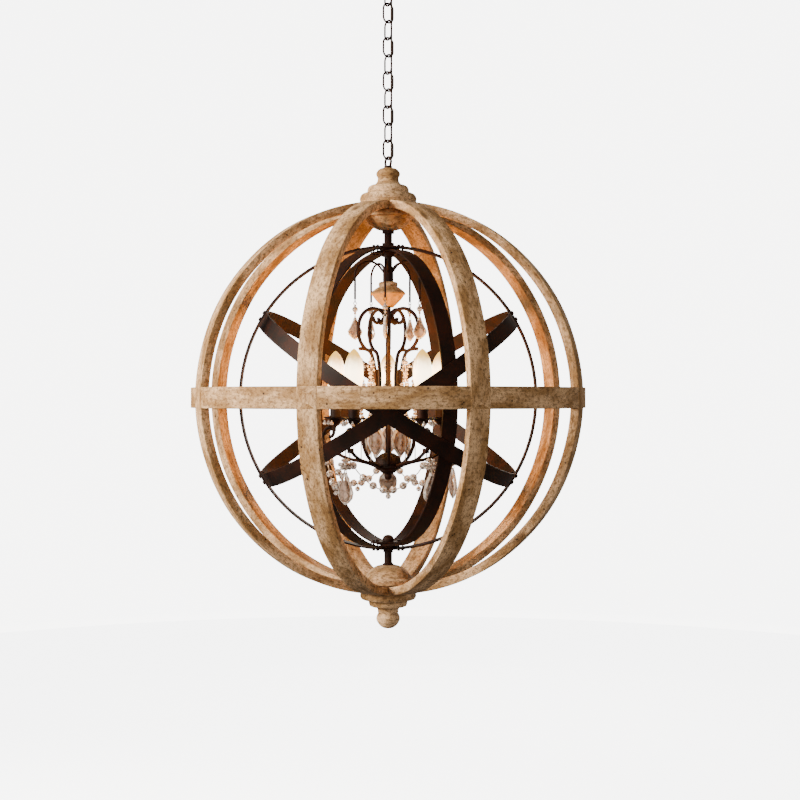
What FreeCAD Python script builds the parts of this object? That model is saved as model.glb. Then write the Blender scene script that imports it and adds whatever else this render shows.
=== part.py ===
"""Orb chandelier: a wooden orb of eight half ribs and an equator band hangs by a chain and
its ceiling canopy.  Inside it sit five flat iron rings and a five-light candle cluster hung
with crystals.

Millimetres, +Z up.  The shapes are worked out about the orb's centre and written out with the
origin in the middle of the ceiling strap's upper face.  An azimuth is counted from -Y, the
front, towards +X.
"""
import FreeCAD
import Part
import math
import os

V = FreeCAD.Vector

# ---- wooden orb ----
ORB_RADIUS = 355.0          # outer face of the ribs
RIB_THICKNESS = 15.0
RIB_WIDTH = 36.0
RIB_COUNT = 8
RIB_FIRST_AZIMUTH = 22.5
BAND_HEIGHT = 36.0
BAND_SEAM_AZIMUTH = -8.5    # the band is two half hoops butted here and opposite
SEAT_GAP = 0.1              # between pieces that sit on one another

# ---- top and bottom turnings ----
FINIAL_BASE_DIAMETER = 104.6
FINIAL_BASE_HEIGHT = 15.0
FINIAL_STEP_DIAMETER = 76.4
FINIAL_STEP_HEIGHT = 14.8
FINIAL_NECK_DIAMETER = 38.0
FINIAL_NECK_HEIGHT = 16.2
FINIAL_COLLAR_DIAMETER = 43.8
FINIAL_COLLAR_HEIGHT = 15.8
DROP_BASE_HEIGHT = 11.4
DROP_STEP_DIAMETER = 71.0
DROP_STEP_HEIGHT = 12.6
DROP_NECK_HEIGHT = 11.0
DROP_BALL_DIAMETER = 42.8
DROP_BALL_HEIGHT = 29.3
DISC_DIAMETER = 94.6
DISC_HEIGHT = 36.0
DISC_EDGE_HEIGHT = 13.0

# ---- stem ----
TUBE_DIAMETER = 14.4
TUBE_BORE = 12.4
FIT_CLEARANCE = 0.15        # radial, round tubes, rods and bolts
SLEEVE_DIAMETER = 19.2
SLEEVE_HEIGHT = 27.5
SLEEVE_TOP_Z = 238.0
SLEEVE_SOCKET = 12.0        # how deep the tube stands in the sleeve
VASE_HEIGHT = 46.0
VASE_DIAMETER = 63.0
VASE_COLLAR_DIAMETER = 32.0
VASE_FOOT_DIAMETER = 21.0
ROD_DIAMETER = 9.3
HUB_TOP_Z = -100.0
HUB_DIAMETER = 54.0
HUB_DOME_HEIGHT = 22.5
HUB_STEP_HEIGHT = 4.0
HUB_BOWL_DIAMETER = 31.0
HUB_BOWL_HEIGHT = 9.5
HUB_KNOB_DIAMETER = 14.0
HUB_KNOB_HEIGHT = 14.0
BOTTOM_STEM_DIAMETER = 14.2
BOTTOM_FLANGE_DIAMETER = 17.8
BOTTOM_FLANGE_HEIGHT = 5.0
DOME_NUT_DIAMETER = 20.6
DOME_NUT_HEIGHT = 12.0

# ---- iron rings ----
RING_OUTER_RADIUS = 270.5   # of the front ring at its sides
RING_POLE_RADIUS = 276.0    # of the front ring at its poles
RING_WIDTH = 27.0
RING_THICKNESS = 3.0
RING_GAP = 0.8              # between rings where they cross
IRON_TURN = -1.5            # how far the ironwork is turned from the ribs' own symmetry
RIGHT_RING_FRONT = 23.0     # azimuths of the upright rings' halves, as the front of the ring
RIGHT_RING_BACK = 34.0
LEFT_RING_FRONT = -32.5
LEFT_RING_BACK = -24.0
UPRIGHT_WAIST_RADIUS = 260.0
TILT_ANGLE = 33.0           # the two tilted rings, from level
TILT_PITCH = 5.0            # their front is this much lower than their back
BOLT_DIAMETER = 4.0
BOLT_HEAD_DIAMETER = 7.5
BOLT_HEAD_HEIGHT = 3.5
BOLT_NUT_HEIGHT = 3.0
TIP_BOLT_SEAT = 0.25        # under the heads, where the oval front ring slopes
TIP_BOLT_SPACING = 13.5
POLE_BOLT_OFFSET = 19.2
POLE_BOLT_SPACING = 7.0
POLE_BOLT_DIAMETER = 3.0
POLE_HEAD_DIAMETER = 5.6
CLAMP_LENGTH = 64.0
CLAMP_WIDTH = 23.0
CLAMP_THICKNESS = 2.5
CLAMP_SEAT = 0.5            # more room over the strips, for the rings' curve

# ---- candle cluster ----
LIGHTS = 5
LIGHT_AZIMUTH = 34.5        # of the first lamp, to the right of the front
BAR_AZIMUTH = 0.5
HOOK_AZIMUTH = -6.5
CAGE_BAR_DIAMETER = 6.5
ARM_DIAMETER = 6.0
CANDLE_RADIUS = 102.0
ARM_BLOCK_RADIUS = 112.0    # the square block on each arm
ARM_BLOCK_SIZE = 8.5
ARM_BLOCK_Z = -93.0
ARM_EYE_RADIUS = 126.0      # the eye for the teardrop, below the arm's outer bend
ARM_EYE_Z = -104.0
ARM_BEND_Z = -79.0
GARLAND_RADIUS = 114.0      # where the garlands hang from the arms
GARLAND_END_DROP = 13.0     # of their hangers, below the middle of the block
WIRE_END_INSET = 1.5        # from the eye to the first bead wire
PAN_Z = -39.0
PAN_DIAMETER = 48.0
PAN_THICKNESS = 1.6
PAN_RIM_HEIGHT = 3.5
CUP_HEIGHT = 11.0
CUP_DIAMETER = 24.0
CANDLE_DIAMETER = 20.5
CANDLE_WALL = 1.0
CANDLE_HEIGHT = 45.0
SOCKET_DIAMETER = 16.4
SOCKET_HEIGHT = 42.0
SOCKET_BORE_DEPTH = 22.0
BULB_BASE_DIAMETER = 11.9
BULB_BASE_LENGTH = 20.0
BULB_CLEARANCE = 0.3
BULB_DIAMETER = 33.0
BULB_GLASS_LENGTH = 78.0

# ---- crystals ----
HOOK_WIRE = 4.0
HOOK_RADIUS = 61.5
HOOK_ARCH_RADIUS = 26.0
HOOK_ARCH_Z = 221.0         # centre of the arch
HOOK_END_Z = 178.0
EYE_RADIUS = 2.8            # small wire eyes that carry the crystals
EYE_WIRE = 1.2
PIN_DIAMETER = 1.5
EYE_CLEARANCE = 0.2
BEAD_DIAMETER = 10.4
CLUSTER_BEAD_DIAMETER = 14.0
DROP_HOLE_DIAMETER = 2.0
KITE_WIDTH = 27.3
KITE_HEIGHT = 41.0
KITE_THICKNESS = 7.0
TEARDROP_WIDTH = 34.0
TEARDROP_HEIGHT = 57.0
TEARDROP_THICKNESS = 10.0
LEAF_WIDTH = 38.0
LEAF_HEIGHT = 58.0
LEAF_THICKNESS = 7.0
LEAF_TOP_Z = -50.0
LEAF_RING_RADIUS = 37.0
DISC_CRYSTAL_DIAMETER = 34.0
DISC_CRYSTAL_THICKNESS = 7.0
DISC_CRYSTAL_GAP = 1.5      # behind the hub's bowl
HUB_POST_SUNK = 1.5         # how far its post passes the hub's step
GARLAND_BEADS = 8           # an even number
GARLAND_BEAD_DIAMETER = 12.5
GARLAND_BALL_DIAMETER = 8.5
GARLAND_SAG = 52.0

# ---- chain, loops, cord and canopy ----
LINK_LENGTH = 38.4          # outside
LINK_WIDTH = 24.4
LINK_WIRE = 3.5
LINK_COUNT = 10
CHAIN_TURN = 33.0           # azimuth of the lowest link's flat, counted from +X
LOOP_RADIUS = 9.2           # centre line of the cast loops
LOOP_WIRE = 4.2
LOOP_CLEARANCE = 0.3
BOSS_DIAMETER = 15.0
BOSS_HEIGHT = 4.5
STUB_LENGTH = 15.0          # threaded stub of the eye, in the stem tube
CORD_DIAMETER = 3.6
CORD_CLEARANCE = 0.25
CORD_OFFSET = 6.0           # from the chain's axis, between the planes of the links
CORD_ENTRY_OFFSET = 3.6     # where it enters the eye
CORD_BEND_RADIUS = 40.0
CANOPY_DIAMETER = 130.0
CANOPY_HEIGHT = 27.0
CANOPY_WALL = 1.2
CANOPY_HOLE_CLEARANCE = 0.4
COLLAR_DIAMETER = 36.0
COLLAR_HEIGHT = 5.0
CANOPY_BOSS_DIAMETER = 22.0
NIPPLE_DIAMETER = 27.0      # threaded shank of the canopy loop
NIPPLE_BORE = 18.0
STRAP_LENGTH = 106.0
STRAP_WIDTH = 34.0
STRAP_THICKNESS = 2.5
STRAP_HOLE_SPACING = 88.9   # for a standard ceiling box
STRAP_HOLE_DIAMETER = 4.7

# ---- heights and radii that follow ----
RIB_INNER_RADIUS = ORB_RADIUS - RIB_THICKNESS
LAP_RADIUS = ORB_RADIUS - RIB_THICKNESS / 2
FINIAL_TOP_Z = (ORB_RADIUS + FINIAL_BASE_HEIGHT + FINIAL_STEP_HEIGHT + FINIAL_NECK_HEIGHT
                + FINIAL_COLLAR_HEIGHT)
DISC_END_Z = RIB_INNER_RADIUS - DISC_HEIGHT
VASE_TOP_Z = SLEEVE_TOP_Z - SLEEVE_HEIGHT - SEAT_GAP
VASE_FOOT_Z = VASE_TOP_Z - VASE_HEIGHT
HUB_SEAT_Z = HUB_TOP_Z - HUB_DOME_HEIGHT
HUB_END_Z = HUB_SEAT_Z - HUB_STEP_HEIGHT - HUB_BOWL_HEIGHT - HUB_KNOB_HEIGHT
RING_STEP = RING_THICKNESS + RING_GAP
CLAMP_FACE_RADIUS = RING_POLE_RADIUS - 3 * RING_STEP - CLAMP_SEAT - CLAMP_THICKNESS
CANDLE_TOP_Z = PAN_Z + PAN_THICKNESS + SEAT_GAP + CANDLE_HEIGHT
LOOP_SEAT = math.sqrt(LOOP_RADIUS ** 2 - (BOSS_DIAMETER / 4) ** 2)
EYE_LOOP_Z = FINIAL_TOP_Z + BOSS_HEIGHT - 1.0 + LOOP_SEAT
LINK_PITCH = LINK_LENGTH - 2 * LINK_WIRE
LOOP_DROP = LOOP_WIRE / 2 + LINK_WIRE / 2 + LOOP_CLEARANCE
FIRST_LINK_Z = EYE_LOOP_Z + LOOP_RADIUS - LOOP_DROP + (LINK_LENGTH - LINK_WIRE) / 2
LAST_LINK_Z = FIRST_LINK_Z + (LINK_COUNT - 1) * (LINK_PITCH - LOOP_CLEARANCE)
CANOPY_LOOP_Z = LAST_LINK_Z + (LINK_LENGTH - LINK_WIRE) / 2 - LOOP_DROP + LOOP_RADIUS
COLLAR_Z = CANOPY_LOOP_Z + LOOP_SEAT + BOSS_HEIGHT - 1.0
CANOPY_Z = COLLAR_Z + COLLAR_HEIGHT
CEILING_Z = CANOPY_Z + CANOPY_HEIGHT


def polar(radius, azimuth, z):
    angle = math.radians(azimuth)
    return V(radius * math.sin(angle), -radius * math.cos(angle), z)


def turned(shape, azimuth):
    """A copy turned about the upright axis, from the front to an azimuth."""
    copy = shape.copy()
    copy.rotate(V(0, 0, 0), V(0, 0, 1), azimuth)
    return copy


def moved(shape, x=0.0, y=0.0, z=0.0):
    copy = shape.copy()
    copy.translate(V(x, y, z))
    return copy


def flipped(shape):
    """The same piece at the opposite pole."""
    copy = shape.copy()
    copy.rotate(V(0, 0, 0), V(1, 0, 0), 180)
    return copy


def cylinder(diameter, height, base, axis=None):
    return Part.makeCylinder(diameter / 2, height, base, axis or V(0, 0, 1))


def box(length, width, height, centre):
    return Part.makeBox(length, width, height, centre - V(length / 2, width / 2, height / 2))


def lathe(outline):
    """A turned solid.  Each entry is a point (r, z) reached by a line, or a pair of points:
    one that an arc passes and the one where it ends."""
    edges = []
    start = V(outline[0][0], 0, outline[0][1])
    first = start
    for entry in outline[1:]:
        if isinstance(entry[0], tuple):
            middle = V(entry[0][0], 0, entry[0][1])
            end = V(entry[1][0], 0, entry[1][1])
            edges.append(Part.Arc(start, middle, end).toShape())
        else:
            end = V(entry[0], 0, entry[1])
            edges.append(Part.makeLine(start, end))
        start = end
    edges.append(Part.makeLine(start, first))
    return Part.Face(Part.Wire(edges)).revolve(V(0, 0, 0), V(0, 0, 1), 360)


def swept(edges, start, heading, diameter):
    profile = Part.Wire(Part.Circle(start, heading, diameter / 2).toShape())
    return Part.Wire(edges).makePipeShell([profile], True, False)


def wrought_bar(points, diameter):
    """A round bar bent to a smooth curve through points (r, z) at azimuth 0."""
    curve = Part.BSplineCurve()
    curve.interpolate([V(0, -r, z) for r, z in points])
    start = curve.value(curve.FirstParameter)
    heading = curve.tangent(curve.FirstParameter)[0]
    return swept([curve.toShape()], start, heading, diameter)


def wire_eye(centre, flat):
    """A small closed eye standing upright, its flat along an azimuth counted from +X."""
    return upright_ring(EYE_RADIUS, EYE_WIRE, centre, flat)


def upright_ring(radius, wire, centre, flat):
    angle = math.radians(flat)
    return Part.makeTorus(radius, wire / 2, centre, V(-math.sin(angle), math.cos(angle), 0))


# ---------------------------------------------------------------- wooden orb

def rib_azimuths():
    return [RIB_FIRST_AZIMUTH + 360.0 / RIB_COUNT * i for i in range(RIB_COUNT)]


def tube_bore():
    """The hole for the stem through everything at the poles."""
    reach = 2 * ORB_RADIUS
    return cylinder(TUBE_DIAMETER + 2 * FIT_CLEARANCE, 2 * reach, V(0, 0, -reach))


def half_rib():
    """A half hoop from pole to pole at azimuth 0, mitred to its share of the circle.  It is
    let in over the equator band, so that only its outer half crosses it."""
    outer = Part.makeCylinder(ORB_RADIUS, RIB_WIDTH, V(-RIB_WIDTH / 2, 0, 0), V(1, 0, 0))
    inner = Part.makeCylinder(RIB_INNER_RADIUS, RIB_WIDTH, V(-RIB_WIDTH / 2, 0, 0), V(1, 0, 0))
    half_angle = math.radians(180.0 / RIB_COUNT)
    reach = ORB_RADIUS * 1.2
    tip = SEAT_GAP / 2 / math.sin(half_angle)
    side = reach * math.tan(half_angle)
    corners = [V(0, -tip, -reach), V(side, -tip - reach, -reach), V(-side, -tip - reach, -reach)]
    wedge = Part.Face(Part.makePolygon(corners + corners[:1])).extrude(V(0, 0, 2 * reach))
    notch = cylinder(2 * (LAP_RADIUS + SEAT_GAP / 2), BAND_HEIGHT + 2 * SEAT_GAP,
                     V(0, 0, -BAND_HEIGHT / 2 - SEAT_GAP))
    return outer.cut(inner).common(wedge).cut(tube_bore()).cut(notch)


def band_half():
    """Half of the equator band, with a half-depth housing for each rib that crosses it."""
    outer = cylinder(2 * ORB_RADIUS, BAND_HEIGHT, V(0, 0, -BAND_HEIGHT / 2))
    inner = cylinder(2 * RIB_INNER_RADIUS, BAND_HEIGHT, V(0, 0, -BAND_HEIGHT / 2))
    reach = ORB_RADIUS * 1.1
    half_space = Part.makeBox(reach, 2 * reach, 2 * reach, V(SEAT_GAP / 2, -reach, -reach))
    half = outer.cut(inner).common(turned(half_space, BAND_SEAM_AZIMUTH))
    core = cylinder(2 * LAP_RADIUS - SEAT_GAP, BAND_HEIGHT * 2, V(0, 0, -BAND_HEIGHT))
    housing = box(RIB_WIDTH + 2 * SEAT_GAP, reach, BAND_HEIGHT * 1.5, V(0, -reach / 2, 0))
    for azimuth in rib_azimuths():
        half = half.cut(turned(housing, azimuth).cut(core))
    return half


def seated_on_ribs(shape):
    """Undercuts a turning so that it sits on the crown of the ribs."""
    reach = ORB_RADIUS + SEAT_GAP
    for azimuth in rib_azimuths()[:RIB_COUNT // 2]:
        hoop = Part.makeCylinder(reach, RIB_WIDTH + 2 * SEAT_GAP,
                                 V(-RIB_WIDTH / 2 - SEAT_GAP, 0, 0), V(1, 0, 0))
        shape = shape.cut(turned(hoop, azimuth))
    return shape.cut(Part.makeSphere(reach))


def top_finial():
    z0 = ORB_RADIUS - FINIAL_BASE_HEIGHT / 2
    z1 = ORB_RADIUS + FINIAL_BASE_HEIGHT
    z2 = z1 + FINIAL_STEP_HEIGHT
    z3 = z2 + FINIAL_NECK_HEIGHT
    base = FINIAL_BASE_DIAMETER / 2
    step = FINIAL_STEP_DIAMETER / 2
    neck = FINIAL_NECK_DIAMETER / 2
    collar = FINIAL_COLLAR_DIAMETER / 2
    shape = lathe([
        (0, z0),
        (base - 1.5, z0),
        (base - 1.5, ORB_RADIUS),
        ((base, ORB_RADIUS + FINIAL_BASE_HEIGHT * 0.5), (base - 3, z1 - 1.0)),
        (base - 6, z1),
        (step - 1, z1),
        ((step, (z1 + z2) / 2), (step - 2, z2 - 1.5)),
        (step - 5, z2),
        ((neck + 3, z2 + 3.5), (neck, z2 + FINIAL_NECK_HEIGHT * 0.6)),
        (neck, z3 - 1.5),
        (collar - 2, z3),
        ((collar, z3 + FINIAL_COLLAR_HEIGHT * 0.45), (collar - 4, FINIAL_TOP_Z - 2.5)),
        ((collar - 7, FINIAL_TOP_Z - 0.6), (collar - 11, FINIAL_TOP_Z)),
        (0, FINIAL_TOP_Z),
    ])
    return seated_on_ribs(shape.cut(tube_bore()))


def bottom_finial():
    z0 = ORB_RADIUS - FINIAL_BASE_HEIGHT / 2
    z1 = ORB_RADIUS + DROP_BASE_HEIGHT
    z2 = z1 + DROP_STEP_HEIGHT
    z3 = z2 + DROP_NECK_HEIGHT
    z4 = z3 + DROP_BALL_HEIGHT
    base = FINIAL_BASE_DIAMETER / 2
    step = DROP_STEP_DIAMETER / 2
    neck = FINIAL_NECK_DIAMETER / 2
    ball = DROP_BALL_DIAMETER / 2
    shape = lathe([
        (0, z0),
        (base - 1.5, z0),
        (base - 1.5, ORB_RADIUS),
        ((base - 0.5, ORB_RADIUS + DROP_BASE_HEIGHT * 0.5), (base - 3, z1 - 1.0)),
        (base - 6, z1),
        (step - 1, z1),
        ((step, (z1 + z2) / 2), (step - 2, z2 - 1.5)),
        (step - 5, z2),
        ((neck + 2.5, z2 + 2.5), (neck, z2 + DROP_NECK_HEIGHT * 0.6)),
        (neck, z3),
        (ball - 1.5, z3 + 1.0),
        ((ball, z3 + DROP_BALL_HEIGHT * 0.4), (ball * 0.8, z3 + DROP_BALL_HEIGHT * 0.75)),
        ((ball * 0.5, z4 - 2.0), (ball * 0.2, z4)),
        (0, z4),
    ])
    bore = cylinder(BOTTOM_STEM_DIAMETER + 2 * FIT_CLEARANCE, z2 - z0 + 1, V(0, 0, z0 - 1))
    return flipped(seated_on_ribs(shape.cut(bore)))


def inner_disc():
    """The domed disc that clamps the ribs' ends from inside, at the upper pole."""
    edge = RIB_INNER_RADIUS - DISC_EDGE_HEIGHT
    radius = DISC_DIAMETER / 2
    shape = lathe([
        (0, RIB_INNER_RADIUS),
        (radius - 1, RIB_INNER_RADIUS),
        (radius - 1, edge + 5),
        ((radius, edge + 3), (radius - 2, edge)),
        (radius - 6, edge - 1.5),
        ((radius * 0.62, DISC_END_Z + 7), (TUBE_DIAMETER / 2 + 5, DISC_END_Z)),
        (0, DISC_END_Z),
    ])
    inside = Part.makeSphere(RIB_INNER_RADIUS - SEAT_GAP)
    return shape.common(inside).cut(tube_bore())


# ---------------------------------------------------------------- iron rings

def oval_plate(radius_x, radius_y):
    """A level oval plate as tall as the strip is wide.  Its seams stay clear of the bolts."""
    if abs(radius_x - radius_y) < 1e-9:
        curve = Part.Circle(V(0, 0, 0), V(0, 0, 1), radius_x)
    elif radius_x > radius_y:
        curve = Part.Ellipse(V(0, 0, 0), radius_x, radius_y)
    else:
        curve = Part.Ellipse(V(0, radius_y, 0), V(-radius_x, 0, 0), V(0, 0, 0))
    quarter = math.pi / 4
    halves = [curve.toShape(quarter, 5 * quarter), curve.toShape(5 * quarter, 9 * quarter)]
    plate = Part.Face(Part.Wire(halves)).extrude(V(0, 0, RING_WIDTH))
    return moved(plate, z=-RING_WIDTH / 2)


def flat_ring(radius_x, radius_y):
    """A strip hoop lying level, with its outer radii along X and Y."""
    inside = oval_plate(radius_x - RING_THICKNESS, radius_y - RING_THICKNESS)
    return oval_plate(radius_x, radius_y).cut(inside)


def tip_radius():
    """Outer radius of the oval front ring where the tilted rings meet it."""
    lean = math.radians(TILT_ANGLE)
    return 1 / math.hypot(math.cos(lean) / RING_OUTER_RADIUS, math.sin(lean) / RING_POLE_RADIUS)


def nested_radius(layer):
    """Outer radius of a tilted ring this many layers inside the front ring."""
    return tip_radius() - layer * RING_STEP


def front_ring():
    """The outermost ring, upright and facing the front."""
    ring = flat_ring(RING_OUTER_RADIUS, RING_POLE_RADIUS)
    ring.rotate(V(0, 0, 0), V(1, 0, 0), 90)
    holes = tip_bolt_holes() + pole_bolt_holes() + [tube_bore()]
    return turned(ring, IRON_TURN).cut(holes)


def upright_hoop(layer, front, back):
    """An upright ring through the poles, sprung a little: its front and back halves stand at
    azimuths of their own and meet in a mitre at each pole."""
    ring = flat_ring(UPRIGHT_WAIST_RADIUS, RING_POLE_RADIUS - layer * RING_STEP)
    ring.rotate(V(0, 0, 0), V(1, 0, 0), 90)
    reach = 2.2 * RING_POLE_RADIUS
    front_room = box(reach, reach, reach, V(0, -reach / 2, 0))
    mitre = (front + back) / 2
    front_half = turned(ring, 90 + front).common(turned(front_room, mitre))
    back_half = turned(ring, 90 + back).common(turned(front_room, mitre + 180))
    hoop = front_half.fuse(back_half).removeSplitter()
    return turned(hoop, IRON_TURN).cut(tube_bore())


def tilt_rotation(tilt):
    turn = FreeCAD.Rotation(V(0, 0, 1), IRON_TURN)
    lean = FreeCAD.Rotation(V(0, 1, 0), tilt)
    pitch = FreeCAD.Rotation(V(1, 0, 0), TILT_PITCH)
    return turn.multiply(lean).multiply(pitch)


def tilted_hoop(layer, tilt):
    """A tilted ring, held by the front ring at its two tips."""
    ring = flat_ring(nested_radius(1), nested_radius(layer))
    ring.Placement = FreeCAD.Placement(V(0, 0, 0), tilt_rotation(tilt))
    return ring.cut(tip_bolt_holes())


def tip_bolt_lines():
    """Where the tilted rings are bolted: pairs of a base point and the outward direction."""
    lines = []
    for tilt in (TILT_ANGLE, -TILT_ANGLE):
        rotation = tilt_rotation(tilt)
        for end in (1, -1):
            out = rotation.multVec(V(end, 0, 0))
            for side in (1, -1):
                lines.append((rotation.multVec(V(0, 0, side * TIP_BOLT_SPACING / 2)), out))
    return lines


def tip_bolt_holes():
    start = nested_radius(3)
    depth = 2 * (tip_radius() - start)
    return [cylinder(BOLT_DIAMETER + 2 * FIT_CLEARANCE, depth, base + out * start, out)
            for base, out in tip_bolt_lines()]


def pole_bolt_distances():
    """Distances from the axis, along the front ring, of the clamp strips' bolts."""
    outer = POLE_BOLT_OFFSET + POLE_BOLT_SPACING
    return [POLE_BOLT_OFFSET, outer, -POLE_BOLT_OFFSET, -outer]


def pole_bolt_holes():
    reach = RING_POLE_RADIUS * 1.1
    return [turned(cylinder(POLE_BOLT_DIAMETER + 2 * FIT_CLEARANCE, 2 * reach, V(x, 0, -reach)),
                   IRON_TURN) for x in pole_bolt_distances()]


def clamp_strips():
    """A short strip inside the crossing of the upright rings at each pole."""
    centre = V(0, 0, CLAMP_FACE_RADIUS + CLAMP_THICKNESS / 2)
    strip = turned(box(CLAMP_LENGTH, CLAMP_WIDTH, CLAMP_THICKNESS, centre), IRON_TURN)
    strips = [strip, turned(flipped(turned(strip, -IRON_TURN)), IRON_TURN)]
    return [piece.cut(pole_bolt_holes() + [tube_bore()]) for piece in strips]


def bolt(base, out, nut_top, head_base, diameter, head):
    """A bolt along a line: its nut inside, its domed head outside."""
    shank = cylinder(diameter, head_base - nut_top + BOLT_NUT_HEIGHT,
                     base + out * (nut_top - BOLT_NUT_HEIGHT), out)
    nut = cylinder(head, BOLT_NUT_HEIGHT, base + out * (nut_top - BOLT_NUT_HEIGHT), out)
    dome = cylinder(head, BOLT_HEAD_HEIGHT, base + out * head_base, out)
    dome = dome.makeFillet(BOLT_HEAD_HEIGHT * 0.45, [dome.Edges[0]])
    return shank.fuse([nut, dome]).removeSplitter()


def ring_bolts():
    """The tip bolts of the tilted rings and the pole bolts of the clamp strips."""
    bolts = []
    for base, out in tip_bolt_lines():
        bolts.append(bolt(base, out, nested_radius(1) - RING_THICKNESS - 0.1,
                          tip_radius() + TIP_BOLT_SEAT, BOLT_DIAMETER, BOLT_HEAD_DIAMETER))
    along = FreeCAD.Rotation(V(0, 0, 1), IRON_TURN).multVec(V(1, 0, 0))
    for x in pole_bolt_distances():
        near_side = abs(x) - POLE_HEAD_DIAMETER / 2
        head_base = math.sqrt(RING_POLE_RADIUS ** 2 - near_side ** 2) + 0.02
        for pole in (V(0, 0, 1), V(0, 0, -1)):
            bolts.append(bolt(along * x, pole, CLAMP_FACE_RADIUS - 0.1, head_base,
                              POLE_BOLT_DIAMETER, POLE_HEAD_DIAMETER))
    return bolts


# ---------------------------------------------------------------- stem

def stem_tube():
    """The pipe from the eye on the crown down into the sleeve."""
    bottom = SLEEVE_TOP_Z - SLEEVE_SOCKET + SEAT_GAP
    height = FINIAL_TOP_Z - SEAT_GAP - bottom
    tube = cylinder(TUBE_DIAMETER, height, V(0, 0, bottom))
    return tube.cut(cylinder(TUBE_BORE, height + 2, V(0, 0, bottom - 1)))


def tube_nuts():
    """Round lock nuts on the pipe: above the rings, inside them and below the disc."""
    bore = TUBE_DIAMETER + 2 * FIT_CLEARANCE
    seats = [RING_POLE_RADIUS + 0.1, CLAMP_FACE_RADIUS - 0.1 - BOTTOM_FLANGE_HEIGHT,
             DISC_END_Z - 0.1 - BOTTOM_FLANGE_HEIGHT]
    nuts = []
    for z in seats:
        nut = cylinder(BOTTOM_FLANGE_DIAMETER + 4, BOTTOM_FLANGE_HEIGHT, V(0, 0, z))
        nuts.append(nut.cut(cylinder(bore, BOTTOM_FLANGE_HEIGHT + 2, V(0, 0, z - 1))))
    return nuts


def bottom_stem():
    """The rod that joins the rings' lower pole, the bottom disc and the bottom finial."""
    rod = BOTTOM_STEM_DIAMETER / 2
    neck = rod * 0.7
    flange = BOTTOM_FLANGE_DIAMETER / 2
    top = CLAMP_FACE_RADIUS - DOME_NUT_HEIGHT * 0.7
    ring_face = RING_POLE_RADIUS + 0.1
    disc_face = DISC_END_Z - 0.1
    end = ORB_RADIUS + DROP_BASE_HEIGHT + DROP_STEP_HEIGHT * 0.8
    return flipped(lathe([
        (0, top),
        (neck, top),
        (neck, ring_face),
        (flange, ring_face),
        (flange, ring_face + BOTTOM_FLANGE_HEIGHT),
        (rod, ring_face + BOTTOM_FLANGE_HEIGHT),
        (rod, disc_face - 4),
        (rod + 4, disc_face),
        (rod, disc_face),
        (rod, end),
        (0, end),
    ]))


def dome_nut():
    """The domed nut on the rod's end, inside the rings' lower pole."""
    face = CLAMP_FACE_RADIUS - 0.1
    radius = DOME_NUT_DIAMETER / 2
    shape = lathe([
        (0, face),
        (radius - 1, face),
        (radius, face - 1),
        (radius, face - 4),
        ((radius * 0.75, face - DOME_NUT_HEIGHT * 0.8), (radius * 0.2, face - DOME_NUT_HEIGHT)),
        (0, face - DOME_NUT_HEIGHT),
    ])
    depth = DOME_NUT_HEIGHT * 0.7 + 0.1
    bore = cylinder(BOTTOM_STEM_DIAMETER * 0.7 + 2 * FIT_CLEARANCE, depth,
                    V(0, 0, face - depth))
    return flipped(shape.cut(bore))


def stem_sleeve():
    """The coupling between the pipe and the centre rod; the crystal hooks spring from it."""
    bottom = SLEEVE_TOP_Z - SLEEVE_HEIGHT
    sleeve = cylinder(SLEEVE_DIAMETER, SLEEVE_HEIGHT, V(0, 0, bottom))
    socket = cylinder(TUBE_DIAMETER + 2 * FIT_CLEARANCE, SLEEVE_SOCKET + 1,
                      V(0, 0, SLEEVE_TOP_Z - SLEEVE_SOCKET))
    bore = cylinder(ROD_DIAMETER + 2 * FIT_CLEARANCE, SLEEVE_HEIGHT, V(0, 0, bottom - 1))
    return sleeve.cut([socket, bore])


def wooden_vase():
    widest = VASE_TOP_Z - VASE_HEIGHT * 0.46
    collar = VASE_COLLAR_DIAMETER / 2
    radius = VASE_DIAMETER / 2
    foot = VASE_FOOT_DIAMETER / 2
    shape = lathe([
        (0, VASE_TOP_Z),
        (collar - 2, VASE_TOP_Z),
        ((collar, VASE_TOP_Z - 2.5), (collar - 1.5, VASE_TOP_Z - 7)),
        (collar - 0.5, VASE_TOP_Z - 9),
        ((radius - 7, widest + 7), (radius - 1, widest + 2)),
        ((radius, widest), (radius - 2, widest - 3)),
        ((foot + 9, VASE_FOOT_Z + 14), (foot, VASE_FOOT_Z + 2)),
        (foot, VASE_FOOT_Z),
        (0, VASE_FOOT_Z),
    ])
    return shape.cut(cylinder(ROD_DIAMETER + 2 * FIT_CLEARANCE, VASE_HEIGHT + 2,
                              V(0, 0, VASE_FOOT_Z - 1)))


def centre_rod():
    """Runs from inside the sleeve, through the vase, down into the hub."""
    top = SLEEVE_TOP_Z - SLEEVE_SOCKET - SEAT_GAP
    return cylinder(ROD_DIAMETER, top - HUB_SEAT_Z, V(0, 0, HUB_SEAT_Z))


# ---------------------------------------------------------------- candle cluster

def share_of_circle(first):
    return [first + 360.0 / LIGHTS * i for i in range(LIGHTS)]


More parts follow.
